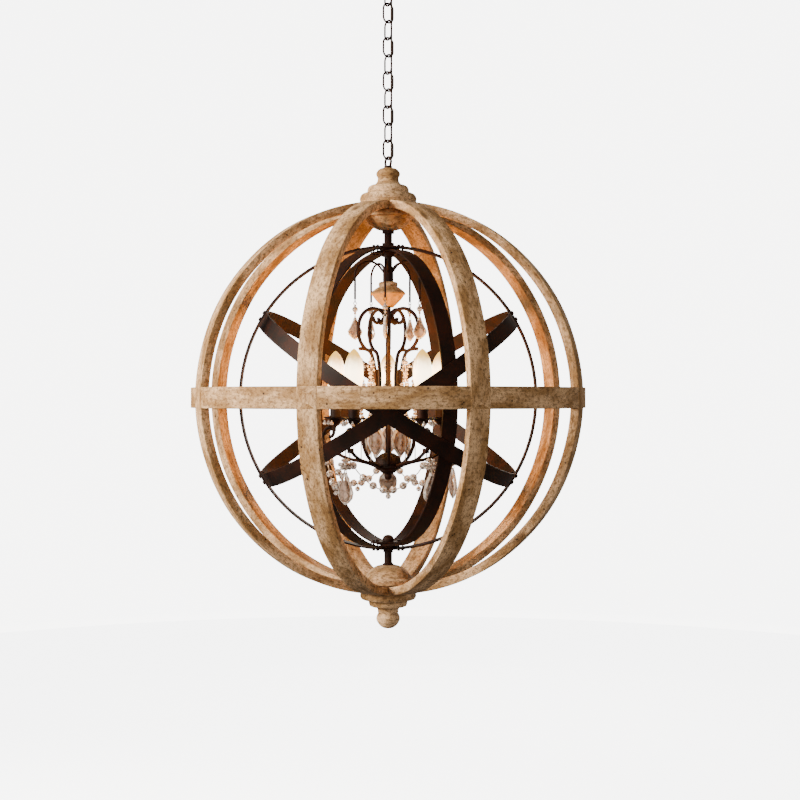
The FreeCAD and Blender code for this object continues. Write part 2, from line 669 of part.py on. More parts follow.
def hub_body():
    step = HUB_SEAT_Z - HUB_STEP_HEIGHT
    bowl = step - HUB_BOWL_HEIGHT
    wide = HUB_DIAMETER / 2
    neck = HUB_BOWL_DIAMETER / 2
    knob = HUB_KNOB_DIAMETER / 2
    return lathe([
        (0, HUB_TOP_Z),
        (ROD_DIAMETER / 2 + 2, HUB_TOP_Z),
        ((wide - 6, HUB_TOP_Z - HUB_DOME_HEIGHT * 0.42), (wide - 2, HUB_SEAT_Z + 4)),
        (wide - 2, HUB_SEAT_Z),
        (wide, HUB_SEAT_Z),
        (wide, step),
        (wide - 3, step),
        ((wide - 6, step - 3.5), (neck, step - HUB_BOWL_HEIGHT * 0.55)),
        ((neck - 1, bowl + 1.5), (knob - 2, bowl)),
        ((knob, bowl - HUB_KNOB_HEIGHT * 0.4), (knob * 0.5, HUB_END_Z + 1.0)),
        (0, HUB_END_Z),
    ])


def lower_hub():
    """The turned iron hub, with the wire eye behind its knob that carries the disc drop."""
    bore = cylinder(ROD_DIAMETER + 2 * FIT_CLEARANCE, HUB_DOME_HEIGHT + 1.1,
                    V(0, 0, HUB_SEAT_Z - 0.1))
    post = cylinder(EYE_WIRE, HUB_STEP_HEIGHT + HUB_POST_SUNK,
                    V(0, disc_drop_offset(), hub_eye_z() + EYE_RADIUS))
    eye = wire_eye(V(0, disc_drop_offset(), hub_eye_z()), 0)
    return hub_body().cut(bore).fuse([post, eye]).removeSplitter()


def disc_drop_offset():
    return HUB_BOWL_DIAMETER / 2 + DISC_CRYSTAL_THICKNESS / 2 + DISC_CRYSTAL_GAP


def hub_eye_z():
    return HUB_SEAT_Z - HUB_STEP_HEIGHT - EYE_RADIUS - HUB_POST_SUNK


def cage_bar():
    """One bar of the lyre-shaped cage: a scroll under the vase and a wide bow, welded to a
    second bar that springs from a short tail and runs down to the hub."""
    top = VASE_FOOT_Z - SEAT_GAP - CAGE_BAR_DIAMETER / 2
    inner = ROD_DIAMETER / 2 + CAGE_BAR_DIAMETER / 2 + 0.15
    bow = wrought_bar([
        (29, top - 14), (20, top - 25), (inner, top - 14), (19, top - 1), (36, top - 0.5),
        (51, top - 13), (57, top - 38), (53, top - 60), (44, top - 72),
    ], CAGE_BAR_DIAMETER)
    ring_touch = LEAF_RING_RADIUS + EYE_WIRE + CAGE_BAR_DIAMETER / 2
    foot = wrought_bar([
        (56, top - 73), (45, top - 73), (36, top - 77), (29, top - 92), (25, top - 116),
        (25, 22), (28, -5), (34, -30), (ring_touch + 1, leaf_ring_z()), (48, -78),
        (42, -101), (HUB_DIAMETER / 2 - 2, HUB_SEAT_Z + 2),
    ], CAGE_BAR_DIAMETER)
    return bow.fuse(foot).cut(hub_body()).removeSplitter()


def candle_arm():
    """One arm: out of the hub, through a square block, round a scroll under the candle cup.
    Fixed below it are the drops that carry the garland ends and the teardrop's eye."""
    cup_z = PAN_Z - CUP_HEIGHT
    scroll = CANDLE_RADIUS + 13
    bar = wrought_bar([
        (HUB_DIAMETER / 2 - 1, HUB_SEAT_Z - HUB_STEP_HEIGHT / 2), (52, -117), (86, -109),
        (ARM_BLOCK_RADIUS, ARM_BLOCK_Z), (ARM_EYE_RADIUS, ARM_BEND_Z), (scroll + 9, -63),
        (scroll, -55), (scroll - 9, -61),
        (scroll - 7, -70), (scroll, -72),
    ], ARM_DIAMETER)
    post = cylinder(ARM_DIAMETER, 12, V(0, -CANDLE_RADIUS - 2, cup_z - 12 - SEAT_GAP))
    block = box(ARM_BLOCK_SIZE, ARM_BLOCK_SIZE, ARM_BLOCK_SIZE,
                V(0, -ARM_BLOCK_RADIUS, ARM_BLOCK_Z))
    pin = cylinder(EYE_WIRE + 0.6, ARM_BEND_Z - 1 - ARM_EYE_Z - EYE_RADIUS,
                   V(0, -ARM_EYE_RADIUS, ARM_EYE_Z + EYE_RADIUS))
    eye = wire_eye(V(0, -ARM_EYE_RADIUS, ARM_EYE_Z), 0)
    hanger = cylinder(EYE_WIRE + 0.6, GARLAND_END_DROP,
                      V(0, -GARLAND_RADIUS, ARM_BLOCK_Z - GARLAND_END_DROP))
    return bar.fuse([post, block, pin, eye, hanger]).cut(hub_body()).removeSplitter()


def candle_pan():
    """A thin round pan with its turned cup below, at azimuth 0."""
    radius = PAN_DIAMETER / 2
    cup = CUP_DIAMETER / 2
    shape = lathe([
        (0, PAN_Z - CUP_HEIGHT),
        (5, PAN_Z - CUP_HEIGHT),
        ((cup - 3, PAN_Z - CUP_HEIGHT * 0.6), (cup - 1, PAN_Z - 2)),
        (cup, PAN_Z),
        ((radius - 6, PAN_Z + 0.8), (radius, PAN_Z + PAN_RIM_HEIGHT)),
        (radius - PAN_THICKNESS, PAN_Z + PAN_RIM_HEIGHT),
        ((radius - 7.5, PAN_Z + PAN_THICKNESS + 0.6), (cup + 1, PAN_Z + PAN_THICKNESS)),
        (0, PAN_Z + PAN_THICKNESS),
    ])
    return moved(shape, y=-CANDLE_RADIUS)


def pan_drops():
    """Small beads on pins under the rim of a pan."""
    drops = []
    radius = PAN_DIAMETER / 2 - 3.5
    bead = faceted_bead(7.0, 0)
    pin = cylinder(EYE_WIRE, 6, V(0, -radius, PAN_Z - 5.2))
    hung = pin.fuse(moved(bead, y=-radius, z=PAN_Z - 8.2)).removeSplitter()
    rim = candle_pan()
    for azimuth in range(30, 360, 60):
        drop = moved(turned(hung, azimuth), y=-CANDLE_RADIUS)
        drops.append(drop.cut(rim))
    return drops


def candle_sleeve():
    bottom = PAN_Z + PAN_THICKNESS + SEAT_GAP
    outer = cylinder(CANDLE_DIAMETER, CANDLE_HEIGHT, V(0, 0, bottom))
    bore = cylinder(CANDLE_DIAMETER - 2 * CANDLE_WALL, CANDLE_HEIGHT + 2, V(0, 0, bottom - 1))
    return moved(outer.cut(bore), y=-CANDLE_RADIUS)


def lamp_socket():
    """The lampholder inside the candle sleeve, with its bore open upwards."""
    bottom = PAN_Z + PAN_THICKNESS + SEAT_GAP
    body = cylinder(SOCKET_DIAMETER, SOCKET_HEIGHT, V(0, 0, bottom))
    foot = cylinder(CANDLE_DIAMETER - 2 * CANDLE_WALL - 2 * FIT_CLEARANCE, 4, V(0, 0, bottom))
    bore = cylinder(BULB_BASE_DIAMETER + 2 * BULB_CLEARANCE, SOCKET_BORE_DEPTH + 1,
                    V(0, 0, bottom + SOCKET_HEIGHT - SOCKET_BORE_DEPTH))
    return moved(body.fuse(foot).cut(bore).removeSplitter(), y=-CANDLE_RADIUS)


def bulb():
    """A candle bulb: narrow base, full belly and a drawn-out tip."""
    seat = CANDLE_TOP_Z + 0.3
    base = BULB_BASE_DIAMETER / 2
    belly = BULB_DIAMETER / 2
    glass = BULB_GLASS_LENGTH
    shape = lathe([
        (0, seat - BULB_BASE_LENGTH),
        (base - 2, seat - BULB_BASE_LENGTH),
        (base, seat - BULB_BASE_LENGTH + 3),
        (base, seat),
        (base + 2.5, seat),
        ((belly - 2.2, seat + glass * 0.17), (belly, seat + glass * 0.38)),
        ((belly * 0.66, seat + glass * 0.77), (2.4, seat + glass * 0.985)),
        (1.2, seat + glass),
        (0, seat + glass),
    ])
    return moved(shape, y=-CANDLE_RADIUS)


# ---------------------------------------------------------------- crystals

KITE_OUTLINE = [(0.18, 0.0), (0.34, 0.2), (1.0, 0.6), (0.86, 0.78), (0.3, 0.93), (0.0, 1.0)]
TEARDROP_OUTLINE = [(0.15, 0.0), (0.36, 0.2), (0.86, 0.5), (1.0, 0.66), (0.6, 0.86), (0.0, 1.0)]
LEAF_OUTLINE = [(0.14, 0.0), (0.6, 0.16), (1.0, 0.42), (0.94, 0.62), (0.42, 0.88), (0.0, 1.0)]
GIRDLE = 1.8                # thickness of a cut crystal at its rim
TABLE_SHARE = 0.5           # size of the flat face against the outline


def crystal_plate(half_outline, width, height, thickness):
    """A cut crystal plate facing front and back, its top edge at z = 0, with the hole that
    its wire passes.  The half outline runs from top to tip, as shares of half the width and
    of the height."""
    right = [V(x * width / 2, 0, -z * height) for x, z in half_outline]
    rim = right + [V(-p.x, 0, p.z) for p in reversed(right) if p.x > 0]
    middle = V(0, 0, -height * 0.58)

    def section(scale, y):
        ring = [middle + (p - middle) * scale + V(0, y, 0) for p in rim]
        return Part.makePolygon(ring + ring[:1])

    levels = [(TABLE_SHARE, -thickness / 2), (1.0, -GIRDLE / 2), (1.0, GIRDLE / 2),
              (TABLE_SHARE, thickness / 2)]
    body = Part.makeLoft([section(*level) for level in levels], True, True)
    hole = cylinder(DROP_HOLE_DIAMETER, thickness * 2, V(0, -thickness, -DROP_HOLE_DIAMETER),
                    V(0, 1, 0))
    return body.cut(hole)


def faceted_bead(diameter, bore):
    """A cut bead about the origin, bored from top to bottom."""
    radius = diameter / 2
    sides = 8
    rings = []
    for share, z in ((0.4, -1.0), (0.98, -0.42), (0.98, 0.42), (0.4, 1.0)):
        corners = [polar(radius * share / math.cos(math.pi / sides), 360.0 / sides * i, radius * z)
                   for i in range(sides)]
        rings.append(Part.makePolygon(corners + corners[:1]))
    bead = Part.makeLoft(rings, True, True)
    if bore:
        bead = bead.cut(cylinder(bore, 2 * diameter, V(0, 0, -diameter)))
    return bead


def hung_eye_z(fixed_eye_z):
    """Centre of an eye that hangs in a fixed eye."""
    return fixed_eye_z - 2 * EYE_RADIUS + EYE_WIRE + EYE_CLEARANCE


def crystal_drop(fixed_eye_z, plate, top_z, beads, lower_flat):
    """A drop at the axis: its wire with an eye at each end, the beads on it, and the plate
    in the lower eye.  The beads are pairs of a diameter and a height."""
    upper = hung_eye_z(fixed_eye_z)
    lower = top_z - DROP_HOLE_DIAMETER + EYE_RADIUS
    pin_start = lower + EYE_RADIUS - EYE_WIRE / 4
    pin = cylinder(PIN_DIAMETER, upper - EYE_RADIUS + EYE_WIRE / 4 - pin_start,
                   V(0, 0, pin_start))
    eyes = [wire_eye(V(0, 0, upper), 90), wire_eye(V(0, 0, lower), lower_flat)]
    solids = [pin.fuse(eyes).removeSplitter()]
    for diameter, z in beads:
        solids.append(moved(faceted_bead(diameter, PIN_DIAMETER + 2 * FIT_CLEARANCE), z=z))
    solids.append(moved(turned(plate, lower_flat + 90), z=top_z))
    return solids


def hook_eye_z():
    return HOOK_END_Z - EYE_RADIUS - EYE_WIRE / 4


def crystal_hook():
    """A wire that springs from the sleeve, arches over and ends in an eye, at azimuth 0."""
    centre_r = HOOK_RADIUS - HOOK_ARCH_RADIUS
    start = V(0, -SLEEVE_DIAMETER / 2 + 1, SLEEVE_TOP_Z - 9)
    centre = V(0, -centre_r, HOOK_ARCH_Z)
    reach = (centre - start).Length
    lean = math.atan2(centre.z - start.z, -(centre.y - start.y))
    angle = lean + math.pi - math.acos(HOOK_ARCH_RADIUS / reach)
    touch = centre + V(0, -HOOK_ARCH_RADIUS * math.cos(angle), HOOK_ARCH_RADIUS * math.sin(angle))
    crown = centre + V(0, 0, HOOK_ARCH_RADIUS)
    shoulder = V(0, -HOOK_RADIUS, HOOK_ARCH_Z)
    edges = [
        Part.makeLine(start, touch),
        Part.Arc(touch, crown, shoulder).toShape(),
        Part.makeLine(shoulder, V(0, -HOOK_RADIUS, HOOK_END_Z)),
    ]
    wire = swept(edges, start, touch - start, HOOK_WIRE)
    eye = wire_eye(V(0, -HOOK_RADIUS, hook_eye_z()), 0)
    sleeve = cylinder(SLEEVE_DIAMETER, 2 * SLEEVE_HEIGHT, V(0, 0, SLEEVE_TOP_Z - SLEEVE_HEIGHT))
    return wire.fuse(eye).cut(sleeve).removeSplitter()


def kite_drop():
    plate = crystal_plate(KITE_OUTLINE, KITE_WIDTH, KITE_HEIGHT, KITE_THICKNESS)
    top = hook_eye_z() - 30
    drop = crystal_drop(hook_eye_z(), plate, top, [(BEAD_DIAMETER, top + 15)], 0)
    return [moved(piece, y=-HOOK_RADIUS) for piece in drop]


def teardrop():
    plate = crystal_plate(TEARDROP_OUTLINE, TEARDROP_WIDTH, TEARDROP_HEIGHT,
                          TEARDROP_THICKNESS)
    top = ARM_EYE_Z - 26
    drop = crystal_drop(ARM_EYE_Z, plate, top, [(CLUSTER_BEAD_DIAMETER, top + 12.5)], 90)
    return [moved(piece, y=-ARM_EYE_RADIUS) for piece in drop]


def disc_drop():
    """A round crystal disc on a wire eye, hung behind the hub's knob."""
    eye_z = hung_eye_z(hub_eye_z())
    radius = DISC_CRYSTAL_DIAMETER / 2
    half = DISC_CRYSTAL_THICKNESS / 2
    disc = lathe([(0, -half), (radius - 5, -half), (radius, -0.9), (radius, 0.9),
                  (radius - 5, half), (0, half)])
    disc.rotate(V(0, 0, 0), V(1, 0, 0), 90)
    disc.translate(V(0, 0, eye_z - EYE_RADIUS + DROP_HOLE_DIAMETER - radius))
    hole = cylinder(DROP_HOLE_DIAMETER, 4 * half, V(0, -2 * half, eye_z - EYE_RADIUS),
                    V(0, 1, 0))
    pieces = [wire_eye(V(0, 0, eye_z), 90), disc.cut(hole)]
    return [moved(piece, y=disc_drop_offset()) for piece in pieces]


def leaf_ring_z():
    """The ring's wire lies on the leaves' eyes."""
    return LEAF_TOP_Z - DROP_HOLE_DIAMETER + 2 * EYE_RADIUS - EYE_WIRE * 1.5 - EYE_CLEARANCE


def leaf_hangers():
    """The wire ring in the cage and the eyes of the five leaves."""
    ring = Part.makeTorus(LEAF_RING_RADIUS, EYE_WIRE, V(0, 0, leaf_ring_z()))
    eye = wire_eye(V(0, -LEAF_RING_RADIUS, LEAF_TOP_Z - DROP_HOLE_DIAMETER + EYE_RADIUS), 90)
    return [ring] + [turned(eye, azimuth) for azimuth in share_of_circle(LIGHT_AZIMUTH)]


def leaf_crystals():
    leaf = crystal_plate(LEAF_OUTLINE, LEAF_WIDTH, LEAF_HEIGHT, LEAF_THICKNESS)
    leaf = moved(leaf, y=-LEAF_RING_RADIUS, z=LEAF_TOP_Z)
    return [turned(leaf, azimuth) for azimuth in share_of_circle(LIGHT_AZIMUTH)]


def garland_joints(azimuth):
    """The pins' joints of the garland between the arm at an azimuth and the next one."""
    end_z = ARM_BLOCK_Z - GARLAND_END_DROP - 1.0
    a = polar(GARLAND_RADIUS, azimuth, end_z)
    b = polar(GARLAND_RADIUS, azimuth + 360.0 / LIGHTS, end_z)
    inset = (b - a).normalize() * WIRE_END_INSET
    a = a + inset
    b = b - inset
    joints = []
    for i in range(GARLAND_BEADS + 1):
        share = i / GARLAND_BEADS
        drop = GARLAND_SAG * (1 - (2 * share - 1) ** 2)
        joints.append(a + (b - a) * share - V(0, 0, drop))
    return joints


def garland_spans():
    spans = []
    for azimuth in share_of_circle(LIGHT_AZIMUTH):
        joints = garland_joints(azimuth)
        spans.extend(zip(joints[:-1], joints[1:]))
    return spans


def garland_ball_centres():
    """The small ball below the lowest joint of each garland."""
    middles = [garland_joints(azimuth)[GARLAND_BEADS // 2]
               for azimuth in share_of_circle(LIGHT_AZIMUTH)]
    return [middle - V(0, 0, GARLAND_BALL_DIAMETER + 1.2) for middle in middles]


def garland_pins():
    pins = []
    for start, end in garland_spans():
        axis = (end - start).normalize()
        length = (end - start).Length
        pins.append(cylinder(PIN_DIAMETER, length - 2.4, start + axis * 1.2, axis))
    for centre in garland_ball_centres():
        pins.append(cylinder(PIN_DIAMETER, GARLAND_BALL_DIAMETER + 1.0, centre))
    return pins


def garland_beads():
    beads = []
    bead = faceted_bead(GARLAND_BEAD_DIAMETER, PIN_DIAMETER + 2 * FIT_CLEARANCE)
    ball = faceted_bead(GARLAND_BALL_DIAMETER, PIN_DIAMETER + 2 * FIT_CLEARANCE)
    for start, end in garland_spans():
        strung = bead.copy()
        turn = FreeCAD.Rotation(V(0, 0, 1), end - start)
        strung.Placement = FreeCAD.Placement((start + end) * 0.5, turn)
        beads.append(strung)
    for centre in garland_ball_centres():
        beads.append(moved(ball, centre.x, centre.y, centre.z))
    return beads


# ---------------------------------------------------------------- chain, loops and canopy

def chain_link(index):
    """A welded link: two straight sides and two half-round ends."""
    bend = (LINK_WIDTH - LINK_WIRE) / 2
    straight = LINK_LENGTH - LINK_WIDTH
    corners = [V(bend, 0, -straight / 2), V(bend, 0, straight / 2),
               V(-bend, 0, straight / 2), V(-bend, 0, -straight / 2)]
    crown = V(0, 0, straight / 2 + bend)
    edges = [
        Part.makeLine(corners[0], corners[1]),
        Part.Arc(corners[1], crown, corners[2]).toShape(),
        Part.makeLine(corners[2], corners[3]),
        Part.Arc(corners[3], V(0, 0, -crown.z), corners[0]).toShape(),
    ]
    link = swept(edges, corners[0], V(0, 0, 1), LINK_WIRE)
    turn = CHAIN_TURN if index % 2 == 0 else CHAIN_TURN - 90
    return moved(turned(link, turn), z=FIRST_LINK_Z + index * (LINK_PITCH - LOOP_CLEARANCE))


def cord_point(offset, z):
    """A point beside the chain's axis, in the corner between the planes of the links."""
    corner = math.radians(CHAIN_TURN - 45)
    return V(offset * math.cos(corner), offset * math.sin(corner), z)


def cord_hole(offset, bottom, top):
    return cylinder(CORD_DIAMETER + 2 * CORD_CLEARANCE, top - bottom,
                    cord_point(offset, bottom))


def cord_points():
    """Corners of the supply cord's route, from above the strap down into the stem tube."""
    lean_top = EYE_LOOP_Z + LOOP_RADIUS + 1
    return [
        cord_point(CORD_OFFSET, CEILING_Z - 1),
        cord_point(CORD_OFFSET, lean_top),
        cord_point(CORD_ENTRY_OFFSET, EYE_LOOP_Z - LOOP_RADIUS + 3.5),
        cord_point(CORD_ENTRY_OFFSET, FINIAL_TOP_Z - STUB_LENGTH - 6),
    ]


def supply_cord():
    """The flex that runs down beside the chain: straight runs joined by tangent arcs."""
    points = cord_points()
    edges = []
    here = points[0]
    for before, corner, after in zip(points[:-2], points[1:-1], points[2:]):
        inward = (corner - before).normalize()
        outward = (after - corner).normalize()
        half_turn = inward.getAngle(outward) / 2
        shorter = min((corner - before).Length, (after - corner).Length)
        radius = min(CORD_BEND_RADIUS, 0.45 * shorter / math.tan(half_turn))
        setback = radius * math.tan(half_turn)
        middle_way = (outward - inward).normalize()
        middle = corner + middle_way * (radius / math.cos(half_turn) - radius)
        leave = corner - inward * setback
        join = corner + outward * setback
        edges.append(Part.LineSegment(here, leave).toShape())
        edges.append(Part.Arc(leave, middle, join).toShape())
        print("cord bend: %.1f mm radius, %.1f degrees" % (radius, math.degrees(2 * half_turn)))
        here = join
    edges.append(Part.LineSegment(here, points[-1]).toShape())
    cord = swept(edges, points[0], points[1] - points[0], CORD_DIAMETER)
    length = sum(edge.Length for edge in edges)
    section = math.pi * CORD_DIAMETER ** 2 / 4
    print("cord: %.1f mm long, volume / section x length = %.5f"
          % (length, cord.Volume / (section * length)))
    return cord


def hang_eye():
    """The cast loop on the finial: ring, boss and a threaded stub down the stem tube."""
    ring = upright_ring(LOOP_RADIUS, LOOP_WIRE, V(0, 0, EYE_LOOP_Z), CHAIN_TURN - 90)
    boss = cylinder(BOSS_DIAMETER, BOSS_HEIGHT, V(0, 0, FINIAL_TOP_Z + SEAT_GAP))
    stub = cylinder(TUBE_BORE - 2 * FIT_CLEARANCE, STUB_LENGTH + 1,
                    V(0, 0, FINIAL_TOP_Z - STUB_LENGTH))
    hole = cord_hole(CORD_ENTRY_OFFSET, FINIAL_TOP_Z - STUB_LENGTH - 1,
                     EYE_LOOP_Z - LOOP_RADIUS + 4)
    return ring.fuse([boss, stub]).cut(hole).removeSplitter()


def canopy_loop():
    """The loop under the canopy: ring, boss and a hollow threaded shank up to the strap."""
    turn = CHAIN_TURN if LINK_COUNT % 2 == 0 else CHAIN_TURN - 90
    ring = upright_ring(LOOP_RADIUS, LOOP_WIRE, V(0, 0, CANOPY_LOOP_Z), turn)
    boss_z = COLLAR_Z - BOSS_HEIGHT
    boss = cylinder(CANOPY_BOSS_DIAMETER, BOSS_HEIGHT + 1, V(0, 0, boss_z))
    shank_top = CEILING_Z - STRAP_THICKNESS - SEAT_GAP
    shank = cylinder(NIPPLE_DIAMETER, shank_top - COLLAR_Z, V(0, 0, COLLAR_Z))
    floor = COLLAR_Z + 3.0
    bore = cylinder(NIPPLE_BORE, CEILING_Z - floor, V(0, 0, floor))
    hole = cord_hole(CORD_OFFSET, boss_z - LOOP_RADIUS, floor + 1)
    return ring.fuse([boss, shank]).cut([bore, hole]).removeSplitter()


def nipple_hole():
    return NIPPLE_DIAMETER + 2 * CANOPY_HOLE_CLEARANCE


def canopy():
    """A shallow domed cover with a hole for the loop's shank."""
    radius = CANOPY_DIAMETER / 2
    rim_top = CEILING_Z - 0.2

    def dome(inset, top):
        crown = CANOPY_Z + inset
        shoulder = radius * 0.42
        return lathe([
            (0, crown),
            (shoulder, crown),
            ((radius * 0.8 - inset * 0.5, crown + CANOPY_HEIGHT * 0.3), (radius - inset, rim_top - 4)),
            (radius - inset, top),
            (0, top),
        ])

    shell = dome(0.0, rim_top).cut(dome(CANOPY_WALL, rim_top + 1))
    return shell.cut(cylinder(nipple_hole(), 2 * CANOPY_HEIGHT, V(0, 0, CANOPY_Z - 1)))


def canopy_collar():
    """The ring nut on the shank that holds the canopy up."""
    radius = COLLAR_DIAMETER / 2
    outer = lathe([
        (0, COLLAR_Z),
        (radius - 2, COLLAR_Z),
        ((radius - 0.6, COLLAR_Z + 0.6), (radius, COLLAR_Z + 2)),
        (radius, CANOPY_Z - SEAT_GAP),
        (0, CANOPY_Z - SEAT_GAP),
    ])
    return outer.cut(cylinder(nipple_hole(), 3 * COLLAR_HEIGHT, V(0, 0, COLLAR_Z - 1)))


def ceiling_crossbar():
    """The steel strap on the ceiling box that carries the loop's shank."""
    z = CEILING_Z - STRAP_THICKNESS
    strap = box(STRAP_LENGTH, STRAP_WIDTH, STRAP_THICKNESS, V(0, 0, z + STRAP_THICKNESS / 2))
    holes = [cylinder(NIPPLE_BORE, STRAP_THICKNESS + 2, V(0, 0, z - 1))]
    for side in (1, -1):
        holes.append(cylinder(STRAP_HOLE_DIAMETER, STRAP_THICKNESS + 2,
                              V(side * STRAP_HOLE_SPACING / 2, 0, z - 1)))
    return strap.cut(holes)


# ---------------------------------------------------------------- the nodes

def write(name, shapes):
    """Writes one node, moved so that the ceiling is at z = 0."""
    solids = []
    for shape in (shapes if isinstance(shapes, list) else [shapes]):
        solids.extend(shape.Solids)
    for solid in solids:
        if not solid.isValid() or solid.Volume <= 0:
            print("NOT VALID:", name, solid.Volume)
    whole = solids[0] if len(solids) == 1 else Part.makeCompound(solids)
    moved(whole, z=-CEILING_Z).exportStep("parts/%s.step" % name)
    print("%-22s %2d solids %10.1f mm3" % (name, len(solids), sum(s.Volume for s in solids)))


def around(shapes, first):
    """A piece or group of pieces repeated for each light, from the first azimuth on."""
    pieces = shapes if isinstance(shapes, list) else [shapes]
    return [turned(piece, azimuth) for azimuth in share_of_circle(first) for piece in pieces]


def write_each(name, shapes, first):
    """One node for each light."""
    pieces = shapes if isinstance(shapes, list) else [shapes]
    for number, azimuth in enumerate(share_of_circle(first), 1):
        write("%s_%d" % (name, number), [turned(piece, azimuth) for piece in pieces])


os.makedirs("parts", exist_ok=True)

rib = half_rib()
for number, azimuth in enumerate(rib_azimuths()[:RIB_COUNT // 2], 1):
    write("rib_pair_%d" % number, [turned(rib, azimuth), turned(rib, azimuth + 180)])
band = band_half()
write("band_half_right", band)
write("band_half_left", turned(band, 180))
write("top_finial", top_finial())
write("bottom_finial", bottom_finial())
write("top_inner_disc", inner_disc())
write("bottom_inner_disc", flipped(inner_disc()))

write("ring_front", front_ring())
write("ring_upright_left", upright_hoop(1, LEFT_RING_FRONT, LEFT_RING_BACK))
write("ring_upright_right", upright_hoop(2, RIGHT_RING_FRONT, RIGHT_RING_BACK))
write("ring_tilted_outer", tilted_hoop(1, TILT_ANGLE))
write("ring_tilted_inner", tilted_hoop(2, -TILT_ANGLE))
write("ring_bolts", ring_bolts())
write("ring_clamp_strips", clamp_strips())

write("stem_tube", stem_tube())
write("tube_nuts", tube_nuts())
write("bottom_stem", bottom_stem())
write("dome_nut", dome_nut())
write("stem_sleeve", stem_sleeve())
write("wooden_vase", wooden_vase())
write("centre_rod", centre_rod())
write("lower_hub", lower_hub())

write("cage_bars", around(cage_bar(), BAR_AZIMUTH))
write("candle_arms", around(candle_arm(), LIGHT_AZIMUTH))
write("candle_pans", around(candle_pan(), LIGHT_AZIMUTH))
write("pan_drops", around(pan_drops(), LIGHT_AZIMUTH))
write("candle_sleeves", around(candle_sleeve(), LIGHT_AZIMUTH))
write("lamp_sockets", around(lamp_socket(), LIGHT_AZIMUTH))
write_each("bulb", bulb(), LIGHT_AZIMUTH)

write("crystal_hooks", around(crystal_hook(), HOOK_AZIMUTH))
write_each("kite_drop", kite_drop(), HOOK_AZIMUTH)
write_each("teardrop", teardrop(), LIGHT_AZIMUTH)
write("disc_drop", disc_drop())
write("leaf_crystals", leaf_crystals())
write("crystal_wires", leaf_hangers() + garland_pins())
write("garland_beads", garland_beads())

write("hang_eye", hang_eye())
write("chain_links", [chain_link(i) for i in range(LINK_COUNT - 1)])
write("chain_top_link", chain_link(LINK_COUNT - 1))
write("supply_cord", supply_cord())
write("canopy_loop", canopy_loop())
write("canopy_collar", canopy_collar())
write("canopy", canopy())
write("ceiling_crossbar", ceiling_crossbar())
print("orb centre at z = %.2f" % -CEILING_Z)
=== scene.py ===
"""Looks of the orb chandelier: weathered wooden orb, flat iron rings, lit candle cluster and
cut crystals, hung in a plain bright studio."""
import math
import random

import bmesh
import bpy
from mathutils import Matrix, Vector


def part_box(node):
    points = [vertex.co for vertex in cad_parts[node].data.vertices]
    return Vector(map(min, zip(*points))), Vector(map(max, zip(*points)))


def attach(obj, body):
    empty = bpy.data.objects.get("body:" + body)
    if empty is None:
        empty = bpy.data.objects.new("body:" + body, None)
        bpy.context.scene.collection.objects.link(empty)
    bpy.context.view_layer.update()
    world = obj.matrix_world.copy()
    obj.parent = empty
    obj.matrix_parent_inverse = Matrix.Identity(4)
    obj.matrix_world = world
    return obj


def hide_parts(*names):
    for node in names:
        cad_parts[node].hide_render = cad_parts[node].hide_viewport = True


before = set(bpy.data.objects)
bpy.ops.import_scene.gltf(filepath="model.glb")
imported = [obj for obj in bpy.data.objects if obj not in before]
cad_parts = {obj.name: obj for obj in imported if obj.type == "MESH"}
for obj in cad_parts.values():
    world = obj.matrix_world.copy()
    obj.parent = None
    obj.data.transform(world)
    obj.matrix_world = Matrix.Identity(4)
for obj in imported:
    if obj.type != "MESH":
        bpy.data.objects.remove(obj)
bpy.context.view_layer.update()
random.seed(7)

MM = 0.001
ring_low, ring_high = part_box("ring_front")
ORB_Z = (ring_low.z + ring_high.z) / 2        # the orb's centre in the row frame, in metres

# Sizes are in millimetres and angles in degrees, unless a comment says otherwise.  Heights are
# measured from the orb's centre.  An azimuth of 0 is the front.

# the wooden orb
ORB_RADIUS = 355.0
RIB_COUNT = 8
RIB_FIRST_AZIMUTH = 22.5
RIB_WIDTH = 36.0
RIB_THICKNESS = 15.0
RIB_ARRIS = 1.3             # the rounding of the strips' long edges
RIB_PROUD = 0.3             # how far the ribs stand out of the band they are let into
RIB_WOBBLE = 0.25           # how far a rib strays from a true circle
MITRE_GAP = 0.15            # how far a rib's end stays short of the orb's axis
BAND_HEIGHT = 36.0
BAND_ARRIS = 1.2
BAND_SEAM_AZIMUTH = -8.5
BAND_SEAM_GAP = 0.06
STRIP_STEPS = 120           # straight lengths in a half hoop

# the candle cluster
LIGHTS = 5
LIGHT_AZIMUTH = 34.5
HOOK_AZIMUTH = -6.5
HOOK_RADIUS = 61.5
CANDLE_RADIUS = 102.0
BULB_BASE_HEIGHT = 20.0
BULB_HEIGHT = 78.0          # of the glass alone
BULB_RADIUS = 16.5
BULB_NECK_RADIUS = 8.4
BULB_WIDEST = 0.38          # the share of the glass's height where it is widest
GLOW_HEIGHT = 34.0          # of the light above the glass's foot
GLOW_POWER = 1.5            # in watts
GLOW_RADIUS = 0.014         # in metres
GLOW_COLOUR = (1.0, 0.43, 0.08)

